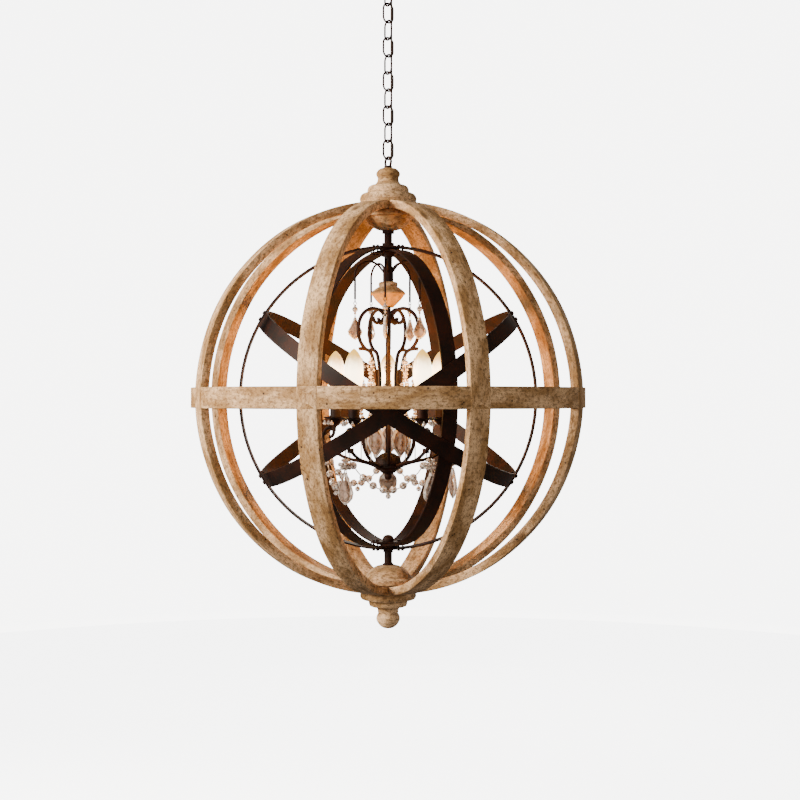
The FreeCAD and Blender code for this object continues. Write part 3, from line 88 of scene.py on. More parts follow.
# the crystals: a size is width, height and thickness, a bead is radius and height, and an eye
# is height and direction, the upper one first
KITE_SIZE = (27.3, 41.0, 7.0)
KITE_TOP_Z = 144.9
KITE_BEADS = ((5.2, 159.9), (2.4, 152.6), (2.2, 166.4))
KITE_EYES = ((170.7, 90), (145.7, 0))
TEARDROP_SIZE = (34.0, 57.0, 10.0)
TEARDROP_RADIUS = 126.0
TEARDROP_TOP_Z = -130.0
TEARDROP_BEADS = ((6.6, -117.5), (2.6, -109.6))
TEARDROP_EYES = ((-108.2, 90), (-129.2, 90))
LEAF_SIZE = (38.0, 58.0, 7.0)
LEAF_RADIUS = 37.0
LEAF_TOP_Z = -50.0
LEAF_EYE_Z = -46.5
LEAF_EYE_WIRE = 1.4
DISC_RADIUS = 17.0
DISC_THICKNESS = 7.0
EYE_RADIUS = 2.8
EYE_WIRE = 1.2
PIN_WIRE = 1.5
PIN_REACH = 2.6             # from the centre of an eye to the pin's end
GIRDLE_HALF = 0.7           # half the thickness of a cut crystal's edge
PLATE_MIDDLE = 0.58         # the share of a crystal's height where its facets draw together
CROWN_SCALE, CROWN_DEPTH = 0.86, 0.34       # shares of the outline and of the thickness
TABLE_SCALE, TABLE_DEPTH = 0.60, 0.5
# small beads strung round a teardrop's wire: ring radius, height, number, bead diameter
TEARDROP_COLLARS = ((10.2, -116.0, 9, 7.2), (7.4, -122.6, 7, 6.4), (5.2, -109.0, 5, 6.0))
GARLAND_RADIUS = 121.0
GARLAND_END_Z = -106.0
GARLAND_INSET = 1.5         # between a garland's end and the point it hangs from
GARLAND_SAG = 56.0
GARLAND_BEADS = 8
GARLAND_BEAD_RADIUS = 6.8
GARLAND_WIRE = 2.0
GARLAND_BALL_DROP = 9.7     # the small ball under the middle of a garland
GARLAND_BALL_RADIUS = 4.8
GARLAND_BALL_WIRE = 1.6
PAN_BEAD_REACH = 20.5       # from the candle's axis
PAN_BEAD_Z = -47.2
PAN_BEAD_RADIUS = 3.5
PAN_TOP_BEAD_RISE = 4.4
PAN_TOP_BEAD_RADIUS = 1.6
SPRAY_RADIUS = 52.0         # of the bead sprays that stand on the arms
SPRAY_FOOT_Z = -116.0
SPRAY_TOP_Z = 68.0
SPRAY_WIRE = 1.8
SPRAY_TIP_BEAD_RADIUS = 2.8
SPRAY_LEVELS = 18
SPRAY_LEVEL_STEP = 6.6
SPRAY_BEADS_A_LEVEL = 3
SPRAY_REACH, SPRAY_REACH_SWING = 3.4, 2.4
SPRAY_BEAD_RADIUS, SPRAY_BEAD_SWING = 3.1, 0.5

# edges sharper than this many degrees stay sharp
STRIP_CREASE = 35.0
TURNED_CREASE = 28.0
BULB_CREASE = 60.0
FACET_CREASE = 4.0


def place(x, y, z):
    """A point given in millimetres from the orb's centre, in the row frame."""
    return Vector((x * MM, y * MM, ORB_Z + z * MM))


def polar(radius, azimuth, z):
    angle = math.radians(azimuth)
    return place(radius * math.sin(angle), -radius * math.cos(angle), z)


def share_of_circle(first):
    """The azimuths of a ring of lights, or of what hangs with them."""
    return [first + 360.0 / LIGHTS * i for i in range(LIGHTS)]


# ---------------------------------------------------------------- shader maths

class Value:
    """A shader socket that takes part in ordinary arithmetic."""

    def __init__(self, tree, socket):
        self.tree = tree
        self.socket = socket

    def math(self, operation, *items):
        return add_node(self.tree, "ShaderNodeMath", dict(enumerate(items)), operation=operation)[0]

    def __add__(self, other):
        return self.math("ADD", self, other)

    def __radd__(self, other):
        return self.math("ADD", other, self)

    def __sub__(self, other):
        return self.math("SUBTRACT", self, other)

    def __rsub__(self, other):
        return self.math("SUBTRACT", other, self)

    def __mul__(self, other):
        return self.math("MULTIPLY", self, other)

    def __rmul__(self, other):
        return self.math("MULTIPLY", other, self)

    def __truediv__(self, other):
        return self.math("DIVIDE", self, other)

    def sine(self):
        return self.math("SINE", self)

    def clamp(self):
        return self.math("MINIMUM", self.math("MAXIMUM", self, 0.0), 1.0)

    def step(self, low, high):
        """0 below low, 1 above high, smooth between."""
        share = ((self - low) / (high - low)).clamp()
        return share * share * (3.0 - 2.0 * share)


def feed(tree, slot, item):
    """Links a value to a socket, or sets the socket to a constant."""
    if isinstance(item, Value):
        tree.links.new(item.socket, slot)
    else:
        slot.default_value = item


def add_node(tree, kind, sockets, **settings):
    """A node with its settings made first, then its sockets fed; gives all its outputs."""
    node = tree.nodes.new(kind)
    for name, value in settings.items():
        setattr(node, name, value)
    for slot, value in sockets.items():
        feed(tree, node.inputs[slot], value)
    return [Value(tree, output) for output in node.outputs]


class Finish:
    """A material under construction: its tree, its surface and the nodes it needs."""

    def __init__(self, name, **constants):
        """Constants go by their socket's name, with _ for each space."""
        self.material = bpy.data.materials.new(name)
        self.material.use_nodes = True
        self.tree = self.material.node_tree
        self.surface = self.tree.nodes["Principled BSDF"]
        for socket, value in constants.items():
            self.surface.inputs[socket.replace("_", " ")].default_value = value

    def node(self, kind, sockets, **settings):
        return add_node(self.tree, kind, sockets, **settings)

    def to(self, socket, value):
        feed(self.tree, self.surface.inputs[socket], value)

    def own_place(self):
        """The place on the piece, in metres along its own axes."""
        return self.node("ShaderNodeTexCoord", {})[3]

    def box_place(self):
        """The place as shares of the piece's own box."""
        return self.node("ShaderNodeTexCoord", {})[0]

    def strip_place(self):
        """The place along and round a strip, in metres."""
        return self.node("ShaderNodeUVMap", {})[0]

    def parts(self, vector):
        return self.node("ShaderNodeSeparateXYZ", {0: vector})

    def join(self, x, y, z):
        return self.node("ShaderNodeCombineXYZ", {0: x, 1: y, 2: z})[0]

    def noise(self, where, scale, detail, roughness):
        return self.node("ShaderNodeTexNoise", {"Vector": where, "Scale": scale,
                                                "Detail": detail, "Roughness": roughness})[0]

    def spots(self, where):
        """The distance to the nearest of many scattered points."""
        return self.node("ShaderNodeTexVoronoi", {"Vector": where, "Scale": 1.0})[0]

    def mix(self, share, first, second):
        """The first colour where the share is 0 and the second where it is 1."""
        return self.node("ShaderNodeMix", {0: share, 6: first, 7: second}, data_type="RGBA")[2]

    def bump(self, height, distance, strength):
        sockets = {"Strength": strength, "Distance": distance, "Height": height}
        self.to("Normal", self.node("ShaderNodeBump", sockets)[0])


# ---------------------------------------------------------------- materials

def weathered_wood(name, turned=False, painted_bulb_glow=0.0):
    """Washed oak: a pale wash over brown, mottled and pitted, with soft streaks of grain.
    The last argument is the strength of painted light: the warm glow of the bulbs below, laid on the
    lower part of the vase."""
    finish = Finish(name, Specular_IOR_Level=0.2)
    if turned:
        x, y, z = finish.parts(finish.own_place())
        along, across, depth = x, z, y
    else:
        along, across, depth = finish.parts(finish.strip_place())

    def stretched(a, b, c):
        return finish.join(along * a, across * b, depth * c)

    streaks = finish.noise(stretched(14.0, 210.0, 60.0), 1.0, 5.0, 0.6)
    mottle = finish.noise(stretched(130.0, 210.0, 210.0), 1.0, 6.0, 0.75)
    grit = finish.noise(stretched(520.0, 640.0, 560.0), 1.0, 3.0, 0.6)
    cloud = finish.noise(stretched(14.0, 34.0, 34.0), 1.0, 4.0, 0.6)
    pit = 1.0 - finish.spots(stretched(62.0, 62.0, 62.0)).step(0.06, 0.13)
    knot = 1.0 - finish.spots(stretched(8.0, 17.0, 17.0)).step(0.05, 0.17)
    pale = (0.80, 0.515, 0.285, 1.0)
    middle = (0.36, 0.195, 0.075, 1.0)
    dark = (0.085, 0.037, 0.011, 1.0)
    black = (0.018, 0.009, 0.005, 1.0)
    # the colour of the painted warm light from the bulbs
    painted_glow_tint = (0.62, 0.30, 0.035, 1.0)
    colour = finish.mix(cloud.step(0.36, 0.62), pale, middle)
    colour = finish.mix(mottle.step(0.45, 0.62) * 0.70, colour, dark)
    colour = finish.mix(streaks.step(0.52, 0.72) * 0.38, colour, dark)
    colour = finish.mix(grit.step(0.50, 0.68) * 0.60, colour, dark)
    colour = finish.mix(knot * 0.7, colour, dark)
    colour = finish.mix(pit * cloud.step(0.38, 0.54), colour, black)
    # painted light: the lower, downward-facing part of the vase is tinted with the bulbs' warm glow
    if painted_bulb_glow:
        below = 1.0 - z.step(ORB_Z + 0.184, ORB_Z + 0.192)
        colour = finish.mix(below * painted_bulb_glow, colour, painted_glow_tint)
    finish.to("Base Color", colour)
    finish.to("Roughness", 0.62 + 0.2 * mottle)
    finish.bump(streaks * 0.4 + mottle * 0.6 - pit * 0.8, 0.0007, 0.9)
    return finish.material


def wrought_iron(name, rust):
    """Near-black brown iron with a rubbed, slightly rusty surface."""
    finish = Finish(name, Metallic=0.35, Specular_IOR_Level=0.25)
    where = finish.own_place()
    patch = finish.noise(where, 34.0, 5.0, 0.6)
    grit = finish.noise(where, 620.0, 3.0, 0.6)
    rub = finish.noise(where, 90.0, 4.0, 0.7)
    colour = finish.mix(patch.step(0.38, 0.68), (0.008, 0.003, 0.0018, 1), (0.026, 0.0065, 0.0025, 1))
    colour = finish.mix(rub.step(0.6, 0.8) * rust, colour, (0.10, 0.026, 0.008, 1))
    finish.to("Base Color", colour)
    finish.to("Roughness", 0.48 + 0.26 * patch)
    finish.bump(grit * 0.5 + rub * 0.5, 0.0003, 0.5)
    return finish.material


def cut_crystal(name, clear, smoky, depth):
    """Crystal with a champagne tint, smoky in its cloudier parts."""
    finish = Finish(name, IOR=1.54, Transmission_Weight=depth, Specular_IOR_Level=0.8)
    cloud = finish.noise(finish.own_place(), 130.0, 4.0, 0.55)
    finish.to("Base Color", finish.mix(cloud.step(0.36, 0.66), clear, smoky))
    finish.to("Roughness", 0.02 + 0.06 * cloud)
    return finish.material


def lit_glass():
    """The bulb's glowing glass: white round the filament, amber at the foot and the tip."""
    finish = Finish("lit_bulb_glass", Emission_Strength=9.0)
    where = finish.box_place()
    swirl = finish.noise(where, 5.0, 2.0, 0.5)
    height = finish.parts(where)[2] + 0.14 * (swirl - 0.5)
    tip = height.step(0.46, 0.88)
    foot = 1.0 - height.step(0.02, 0.30)
    glow = finish.mix(tip, (0.80, 0.66, 0.44, 1), (0.20, 0.115, 0.022, 1))
    glow = finish.mix(foot * 0.8, glow, (0.50, 0.25, 0.05, 1))
    finish.to("Base Color", glow)
    finish.to("Emission Color", glow)
    finish.to("Roughness", 0.2 + 0.1 * swirl)
    return finish.material


def plain_metal(name, colour, worn):
    """A thin plated metal with small brighter wear."""
    finish = Finish(name, Metallic=0.9)
    wear = finish.noise(finish.own_place(), 180.0, 4.0, 0.6)
    finish.to("Base Color", finish.mix(wear.step(0.45, 0.7), colour, worn))
    finish.to("Roughness", 0.25 + 0.2 * wear)
    finish.bump(wear, 0.0002, 0.3)
    return finish.material


def moulded_black():
    """The sockets' dull black moulding."""
    finish = Finish("socket_phenolic")
    grain = finish.noise(finish.own_place(), 400.0, 2.0, 0.5)
    finish.to("Base Color", finish.mix(grain, (0.012, 0.011, 0.010, 1), (0.03, 0.027, 0.024, 1)))
    finish.to("Roughness", 0.4 + 0.15 * grain)
    finish.bump(grain, 0.0001, 0.3)
    return finish.material


def braided_sheath():
    """Brown cord covering with a fine diagonal braid."""
    finish = Finish("brown_cord_sheath", Roughness=0.7)
    x, _, z = finish.parts(finish.own_place())
    left_lay = (z * 2600.0 + x * 3000.0).sine()
    right_lay = (z * 2600.0 - x * 3000.0).sine()
    braid = left_lay * right_lay * 0.5 + 0.5
    finish.to("Base Color", finish.mix(braid, (0.025, 0.015, 0.010, 1), (0.075, 0.050, 0.034, 1)))
    finish.bump(braid, 0.0003, 0.6)
    return finish.material


WOOD = weathered_wood("weathered_oak_strip")
TURNED_WOOD = weathered_wood("weathered_oak_turned", turned=True)
# the vase's lower part gets painted warm light from the bulbs
VASE_WOOD = weathered_wood("weathered_oak_vase", turned=True, painted_bulb_glow=0.65)
IRON = wrought_iron("brown_black_iron", 0.20)
COPPERY_IRON = wrought_iron("copper_brown_iron", 0.55)
CRYSTAL = cut_crystal("champagne_crystal", (0.36, 0.26, 0.20, 1), (0.14, 0.085, 0.055, 1), 0.38)
# The bright rim finish is painted highlight: white, mostly diffuse glass that stands for the glints
# on the crystals' cut edges and facets.
CRYSTAL_PAINTED_GLINT = cut_crystal("painted_glint_crystal_rim", (1.0, 0.96, 0.92, 1), (0.66, 0.55, 0.46, 1), 0.35)
PAINTED_GLINT_SLOT = 1                     # the place among a crystal's materials of the white finish, a painted highlight for the glints on cut edges and facets
BULB = lit_glass()
WIRE = plain_metal("silvered_wire", (0.50, 0.42, 0.34, 1), (0.80, 0.74, 0.66, 1))
BRASS = plain_metal("bulb_base_brass", (0.60, 0.42, 0.18, 1), (0.85, 0.68, 0.40, 1))
STEEL = plain_metal("zinc_steel", (0.42, 0.42, 0.41, 1), (0.62, 0.62, 0.60, 1))
SOCKET = moulded_black()
SHEATH = braided_sheath()


# ---------------------------------------------------------------- building pieces

def in_scene(name, data):
    """A new object in the scene."""
    thing = bpy.data.objects.new(name, data)
    bpy.context.scene.collection.objects.link(thing)
    return thing


def finished(name, shape, material, body, nodes=(), crease=STRIP_CREASE):
    """Turns a bmesh into a piece that rides on a body and stands for CAD nodes."""
    bmesh.ops.remove_doubles(shape, verts=shape.verts, dist=1e-7)
    bmesh.ops.recalc_face_normals(shape, faces=shape.faces)
    for face in shape.faces:
        face.smooth = True
    for edge in shape.edges:
        if len(edge.link_faces) == 2:
            edge.smooth = edge.calc_face_angle(0.0) < math.radians(crease)
    mesh = bpy.data.meshes.new(name)
    shape.to_mesh(mesh)
    shape.free()
    piece = in_scene(name, mesh)
    piece.data.materials.append(material)
    # crystal pieces also get the white painted-highlight finish for their bright facets
    if material is CRYSTAL:
        piece.data.materials.append(CRYSTAL_PAINTED_GLINT)
    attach(piece, body)
    if nodes:
        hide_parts(*nodes)
    return piece


def finished_glass(name, shape, body, nodes=()):
    finished(name, shape, CRYSTAL, body, nodes, FACET_CREASE)


def finished_wire(name, shape, body, nodes=()):
    finished(name, shape, WIRE, body, nodes)


def copied(shape, matrix, into):
    """Adds a transformed copy of one bmesh to another."""
    mesh = bpy.data.meshes.new("copy")
    shape.to_mesh(mesh)
    mesh.transform(matrix)
    into.from_mesh(mesh)
    bpy.data.meshes.remove(mesh)


def about_axis(azimuth):
    """Turns about the orb's upright axis, in millimetre space."""
    return Matrix.Rotation(math.radians(azimuth), 4, "Z")


def lift(x, y, z):
    return Matrix.Translation((x, y, z))


def to_row():
    """From millimetres about the orb's centre to the row frame."""
    return lift(0, 0, ORB_Z) @ Matrix.Scale(MM, 4)


def stand(azimuth, radius, z=0):
    """From millimetres about a point of the cluster to the row frame."""
    return to_row() @ about_axis(azimuth) @ lift(0, -radius, z)


def circle(count, shift=0.0):
    """Points of a unit circle, turned by a share of one step."""
    angles = [2 * math.pi * (k + shift) / count for k in range(count)]
    return [(math.cos(angle), math.sin(angle)) for angle in angles]


def skin(shape, low, high):
    """Joins two rings of corners with faces.  A ring may be a single point."""
    count = max(len(low), len(high))
    for k in range(count):
        n = (k + 1) % count
        if len(low) == 1:
            shape.faces.new((low[0], high[k], high[n]))
        elif len(high) == 1:
            shape.faces.new((low[k], low[n], high[0]))
        else:
            shape.faces.new((low[k], low[n], high[n], high[k]))


def rounded_strip(width, thickness, corner):
    """Corner points (across, out) of a strip's section, with small rounded arrises."""
    points = []
    for sx, sy, start in ((1, -1, -90), (1, 1, 0), (-1, 1, 90), (-1, -1, 180)):
        for step in range(4):
            angle = math.radians(start + 30 * step)
            points.append((sx * (width / 2 - corner) + corner * math.cos(angle),
                           sy * (thickness / 2 - corner) + corner * math.sin(angle)))
    return points


def swept_strip(shape, stations, section):
    """Skins a section along stations: (centre, across, out, distance along), and closes both
    ends.  The UV map holds the distance along and round the strip, in metres."""
    uv = shape.loops.layers.uv.verify()
    rings = []
    for centre, across, out, _ in stations:
        rings.append([shape.verts.new(centre + across * a + out * b) for a, b in section])
    girth = [0.0]
    for (a0, b0), (a1, b1) in zip(section, section[1:] + section[:1]):
        girth.append(girth[-1] + math.hypot(a1 - a0, b1 - b0) * MM)
    count = len(section)
    for index in range(len(rings) - 1):
        along = stations[index][3] * MM, stations[index + 1][3] * MM
        for k in range(count):
            n = (k + 1) % count
            face = shape.faces.new((rings[index][k], rings[index + 1][k],
                                    rings[index + 1][n], rings[index][n]))
            spots = ((along[0], girth[k]), (along[1], girth[k]),
                     (along[1], girth[k + 1]), (along[0], girth[k + 1]))
            for loop, spot in zip(face.loops, spots):
                loop[uv].uv = spot
    for ring in (rings[0], rings[-1]):
        face = shape.faces.new(ring)
        for loop in face.loops:
            loop[uv].uv = (loop.vert.co.x * MM, loop.vert.co.z * MM)


# ---------------------------------------------------------------- the wooden orb

def half_rib(offset):
    """One half hoop at azimuth 0, its ends mitred, with UVs shifted along by an offset."""
    shape = bmesh.new()
    middle = ORB_RADIUS - RIB_THICKNESS / 2 + RIB_PROUD
    section = rounded_strip(RIB_WIDTH, RIB_THICKNESS, RIB_ARRIS)
    stations = []
    for step in range(STRIP_STEPS + 1):
        angle = math.radians(-90.0 + 180.0 / STRIP_STEPS * step)
        out = Vector((0, -math.cos(angle), math.sin(angle)))
        wobble = RIB_WOBBLE * math.sin(step * 0.31 + offset * 5.0)
        stations.append((out * (middle + wobble), Vector((1, 0, 0)), out,
                         offset * 1000 + middle * angle))
    swept_strip(shape, stations, section)
    turn = math.radians(180.0 / RIB_COUNT)
    for side in (1, -1):
        normal = Vector((side * math.cos(turn), math.sin(turn), 0))
        cut = bmesh.ops.bisect_plane(shape, geom=shape.verts[:] + shape.edges[:] + shape.faces[:],
                                     plane_co=(0, -MITRE_GAP, 0), plane_no=normal,
                                     clear_outer=True)
        rim = [item for item in cut["geom_cut"] if isinstance(item, bmesh.types.BMEdge)]
        bmesh.ops.edgenet_fill(shape, edges=rim)
    return shape


def ribs():
    """Four pairs of half hoops, each half with a stretch of grain of its own."""
    for pair in range(RIB_COUNT // 2):
        shape = bmesh.new()
        for end in (0, 1):
            rib = half_rib(1.7 * pair + 0.83 * end)
            azimuth = RIB_FIRST_AZIMUTH + 360.0 / RIB_COUNT * pair + 180.0 * end
            copied(rib, to_row() @ about_axis(azimuth), shape)
            rib.free()
        finished("rib_strips_%d" % (pair + 1), shape, WOOD, "orb",
                 ["rib_pair_%d" % (pair + 1)])


def band_half(name, node, start):
    """Half of the equator band between its two butt seams."""
    shape = bmesh.new()
    middle = ORB_RADIUS - RIB_THICKNESS / 2
    section = rounded_strip(BAND_HEIGHT, RIB_THICKNESS, BAND_ARRIS)
    stations = []
    for step in range(STRIP_STEPS + 1):
        azimuth = math.radians(start + BAND_SEAM_GAP / 2
                               + (180.0 - BAND_SEAM_GAP) / STRIP_STEPS * step)
        out = Vector((math.sin(azimuth), -math.cos(azimuth), 0))
        stations.append((out * middle, Vector((0, 0, 1)), out, middle * azimuth + start * 40))
    swept_strip(shape, stations, section)
    bmesh.ops.transform(shape, matrix=to_row(), verts=shape.verts)
    finished(name, shape, WOOD, "orb", [node])


def turning(shape, outline, turns, centre=(0.0, 0.0)):
    """Turns (radius, height) points about an upright axis, from a point on it to another."""
    rings = []
    for radius, z in outline:
        spots = circle(turns) if radius else [(0.0, 0.0)]
        rings.append([shape.verts.new(place(centre[0] + radius * x, centre[1] + radius * y, z))
                      for x, y in spots])
    for low, high in zip(rings[:-1], rings[1:]):
        skin(shape, low, high)


def lathed(name, outline, material, body, nodes, turns=72, centre=(0.0, 0.0),
           crease=TURNED_CREASE):
    shape = bmesh.new()
    turning(shape, outline, turns, centre)
    return finished(name, shape, material, body, nodes, crease)


def bead_of(radius_a, z_a, radius_b, z_b, bulge, steps=8):
    """Points of a rounded moulding between two points, bulging outwards."""
    points = []
    for step in range(steps + 1):
        share = step / steps
        swell = bulge * math.sin(math.pi * share)
        points.append((radius_a + (radius_b - radius_a) * share + swell,
                       z_a + (z_b - z_a) * share))
    return points


TOP_FINIAL = [
    (0.0, 349.0), (50.5, 349.0), (50.5, 355.0),
    *bead_of(50.8, 355.5, 49.0, 368.4, 1.8),
    (46.0, 370.0), (37.6, 370.3),
    *bead_of(36.8, 371.0, 35.6, 383.2, 1.6),
    (33.0, 384.8), (29.0, 385.4), (24.5, 387.4), (21.2, 390.6), (19.4, 394.6), (19.0, 398.6),
    (19.2, 400.6),
    *bead_of(19.6, 401.0, 17.6, 414.4, 3.2, 12),
    (14.5, 416.3), (10.8, 416.8), (0.0, 416.8),
]
BOTTOM_FINIAL = [
    (0.0, -419.3), (4.3, -419.3), (8.5, -418.4), (12.6, -416.2),
    *bead_of(15.4, -413.8, 18.0, -391.2, 4.8, 14),
    (18.8, -390.4), (18.9, -386.0), (20.2, -382.4), (23.5, -380.0), (30.5, -379.2),
    *bead_of(33.5, -378.0, 34.5, -367.6, 1.2),
    (36.5, -366.4), (45.4, -366.2),
    *bead_of(48.8, -365.0, 50.4, -355.6, 1.5),
    (50.4, -349.0), (0.0, -349.0),
]
CLAMP_DISC = [
    (0.0, 339.0), (46.0, 336.0), (46.2, 332.4), (47.2, 330.0), (46.0, 327.2), (42.0, 326.0),
    (39.5, 322.0), (35.4, 316.0), (29.0, 310.4), (21.0, 306.4), (12.0, 304.2), (7.6, 304.0),
    (0.0, 304.0),
]
VASE = [
    (0.0, 210.4), (14.8, 210.4), (16.8, 209.2), (17.4, 206.5), (17.2, 203.6), (16.2, 202.2),
    (18.6, 201.0), (23.5, 197.8), (28.4, 194.0), (31.2, 190.8), (31.6, 189.0), (31.0, 187.2),
    (28.8, 186.2), (28.0, 184.6), (23.6, 178.6), (18.2, 172.8), (13.6, 168.4), (11.0, 166.0),
    (10.5, 164.4), (0.0, 164.4),
]


def turned_pieces():
    """The finials, the discs that clamp the ribs from inside, and the vase."""
    upside_down = [(radius, -z) for radius, z in CLAMP_DISC]
    for name, outline, node in (("turned_top_finial", TOP_FINIAL, "top_finial"),
                                ("turned_bottom_finial", BOTTOM_FINIAL, "bottom_finial"),
                                ("upper_clamp_disc", CLAMP_DISC, "top_inner_disc"),
                                ("lower_clamp_disc", upside_down, "bottom_inner_disc")):
        lathed(name, outline, TURNED_WOOD, "orb", [node])
    lathed("turned_vase", VASE, VASE_WOOD, "orb", ["wooden_vase"])


# ---------------------------------------------------------------- crystals

# outlines from the top to the tip, as shares of half the width and of the height
KITE = [(0.16, 0.0), (0.32, 0.17), (0.60, 0.38), (1.0, 0.60), (0.88, 0.76), (0.42, 0.90),
        (0.0, 1.0)]
TEARDROP = [(0.15, 0.0), (0.34, 0.16), (0.74, 0.38), (1.0, 0.62), (0.86, 0.80), (0.44, 0.92),
            (0.0, 1.0)]
LEAF = [(0.14, 0.0), (0.62, 0.14), (1.0, 0.40), (0.96, 0.58), (0.66, 0.76), (0.30, 0.90),
        (0.0, 1.0)]
# rings of facets, as shares of the radius and of the height or thickness
BEAD_LEVELS = [(0.32, -0.97), (0.74, -0.70), (1.0, -0.20), (1.0, 0.20), (0.74, 0.70), (0.32, 0.97)]
DISC_LEVELS = [(0.45, -0.5), (0.8, -0.36), (1.0, -0.1), (1.0, 0.1), (0.8, 0.36), (0.45, 0.5)]


def cut_plate(shape, outline, size, matrix):
    """A cut crystal with a girdle, a ring of slanted facets and a table on both faces."""
    width, height, thickness = size
    right = [Vector((x * width / 2, 0, -z * height)) for x, z in outline]
    rim = right + [Vector((-p.x, 0, p.z)) for p in reversed(right) if p.x > 0]
    middle = Vector((0, 0, -height * PLATE_MIDDLE))
    count = len(rim)

    def ring(scale, depth, shift):
        """The rim, shrunk about the middle and moved on by a share of one side."""
        points = []
        for k in range(count):
            a, b = rim[k], rim[(k + 1) % count]
            point = a + (b - a) * shift
            points.append(matrix @ (middle + (point - middle) * scale + Vector((0, depth, 0))))
        return [shape.verts.new(p) for p in points]

    girdle = {}
    for side in (-1, 1):
        girdle[side] = ring(1.0, side * GIRDLE_HALF, 0.0)
        crown = ring(CROWN_SCALE, side * thickness * CROWN_DEPTH, 0.5)
        table = ring(TABLE_SCALE, side * thickness * TABLE_DEPTH, 0.0)
        for k in range(count):
            n = (k + 1) % count
            # the girdle and the slanted crown facets carry the painted highlight
            for corners in ((girdle[side][k], girdle[side][n], crown[k]),
                            (girdle[side][n], crown[n], crown[k])):
                shape.faces.new(corners).material_index = PAINTED_GLINT_SLOT
            shape.faces.new((crown[k], crown[n], table[n]))
            shape.faces.new((crown[k], table[n], table[k]))
        shape.faces.new(table)
    for k in range(count):
        n = (k + 1) % count
        # the crystal's edge carries the painted highlight too
        edge = shape.faces.new((girdle[-1][k], girdle[-1][n], girdle[1][n], girdle[1][k]))
        edge.material_index = PAINTED_GLINT_SLOT


def cut_bead(shape, radius, matrix, sides=8):
    """A round bead of many flat facets, half of them carrying the painted highlight of the white
    finish.
    """
    rings = []
    for index, (share, z) in enumerate(BEAD_LEVELS):
        rings.append([shape.verts.new(matrix @ (Vector((x * share, y * share, z)) * radius))
                      for x, y in circle(sides, 0.5 * (index % 2))])
    for index, (low, high) in enumerate(zip(rings[:-1], rings[1:])):
        for k in range(sides):
            n = (k + 1) % sides
            if index % 2 == 0:
                triangles = (low[k], low[n], high[k]), (low[n], high[n], high[k])
            else:
                triangles = (low[k], high[n], high[k]), (low[k], low[n], high[n])
            # every other facet carries the painted highlight
            shape.faces.new(triangles[0]).material_index = PAINTED_GLINT_SLOT
            shape.faces.new(triangles[1])
    shape.faces.new(rings[0])
    shape.faces.new(rings[-1])


def round_disc(shape, centre, radius, thickness, sides=16):
    """A round faceted crystal facing front and back."""
    rings = []
    for index, (share, depth) in enumerate(DISC_LEVELS):
        rings.append([shape.verts.new(place(centre[0] + radius * share * x,
                                            centre[1] + thickness * depth,
                                            centre[2] + radius * share * z))
                      for x, z in circle(sides, 0.5 * (index % 2))])
    for low, high in zip(rings[:-1], rings[1:]):
        skin(shape, low, high)
    shape.faces.new(rings[0])
    shape.faces.new(rings[-1])


def wire_eye(shape, centre, flat, base, wire=EYE_WIRE):
    """A small closed eye standing upright, its flat along a direction from +X."""
    angle = math.radians(flat)
    side = Vector((math.cos(angle), math.sin(angle), 0))
    normal = Vector((-math.sin(angle), math.cos(angle), 0))
    up = Vector((0, 0, 1))
    rings = []
    for across, rise in circle(24):
        out = side * across + up * rise
        rings.append([shape.verts.new(base @ (centre + (out * (EYE_RADIUS + wire / 2 * a)
                                                        + normal * (wire / 2 * b))))
                      for a, b in circle(8)])
    for low, high in zip(rings, rings[1:] + rings[:1]):
        skin(shape, low, high)


def round_pin(shape, start, end, diameter):
    """A thin straight pin between two points."""
    axis = (end - start).normalized()
    side = axis.orthogonal().normalized()
    other = axis.cross(side)
    rings = [[shape.verts.new(point + (side * a + other * b) * diameter / 2)
              for a, b in circle(8)] for point in (start, end)]
    skin(shape, *rings)
    shape.faces.new(rings[0])
    shape.faces.new(rings[1])


def drop(name, azimuth, radius, plate, size, top_z, beads, eyes, plate_turn):
    """A hanging crystal: its glass as one piece and its wire as another."""
    glass = bmesh.new()
    local = stand(azimuth, radius)
    cut_plate(glass, plate, size, local @ lift(0, 0, top_z) @ about_axis(plate_turn))
    for bead_radius, z in beads:
        cut_bead(glass, bead_radius, local @ lift(0, 0, z))
    finished_glass("%s_glass" % name, glass, name, [name])
    wire = bmesh.new()
    for z, flat in eyes:
        wire_eye(wire, Vector((0, 0, z)), flat, local)
    low, high = eyes[1][0] + PIN_REACH, eyes[0][0] - PIN_REACH
    round_pin(wire, local @ Vector((0, 0, low)), local @ Vector((0, 0, high)), PIN_WIRE * MM)
    finished_wire("%s_wire" % name, wire, name)


def kites():
    for number, azimuth in enumerate(share_of_circle(HOOK_AZIMUTH), 1):
        drop("kite_drop_%d" % number, azimuth, HOOK_RADIUS, KITE, KITE_SIZE, KITE_TOP_Z,
             KITE_BEADS, KITE_EYES, 90)


def teardrops():
    for number, azimuth in enumerate(share_of_circle(LIGHT_AZIMUTH), 1):
        drop("teardrop_%d" % number, azimuth, TEARDROP_RADIUS, TEARDROP, TEARDROP_SIZE,
             TEARDROP_TOP_Z, TEARDROP_BEADS, TEARDROP_EYES, 0)


def bead_clusters():
    """The small beads strung closely round the wires of the teardrops."""
    lean = Matrix.Rotation(math.radians(35), 4, "X")
    for number, azimuth in enumerate(share_of_circle(LIGHT_AZIMUTH), 1):
        shape = bmesh.new()
        base = stand(azimuth, TEARDROP_RADIUS)
        for radius, z, count, bead in TEARDROP_COLLARS:
            for k in range(count):
                cut_bead(shape, bead / 2,
                         base @ about_axis(360.0 / count * k) @ lift(0, -radius, z) @ lean)
        name = "teardrop_%d" % number
        finished_glass("%s_beads" % name, shape, name)


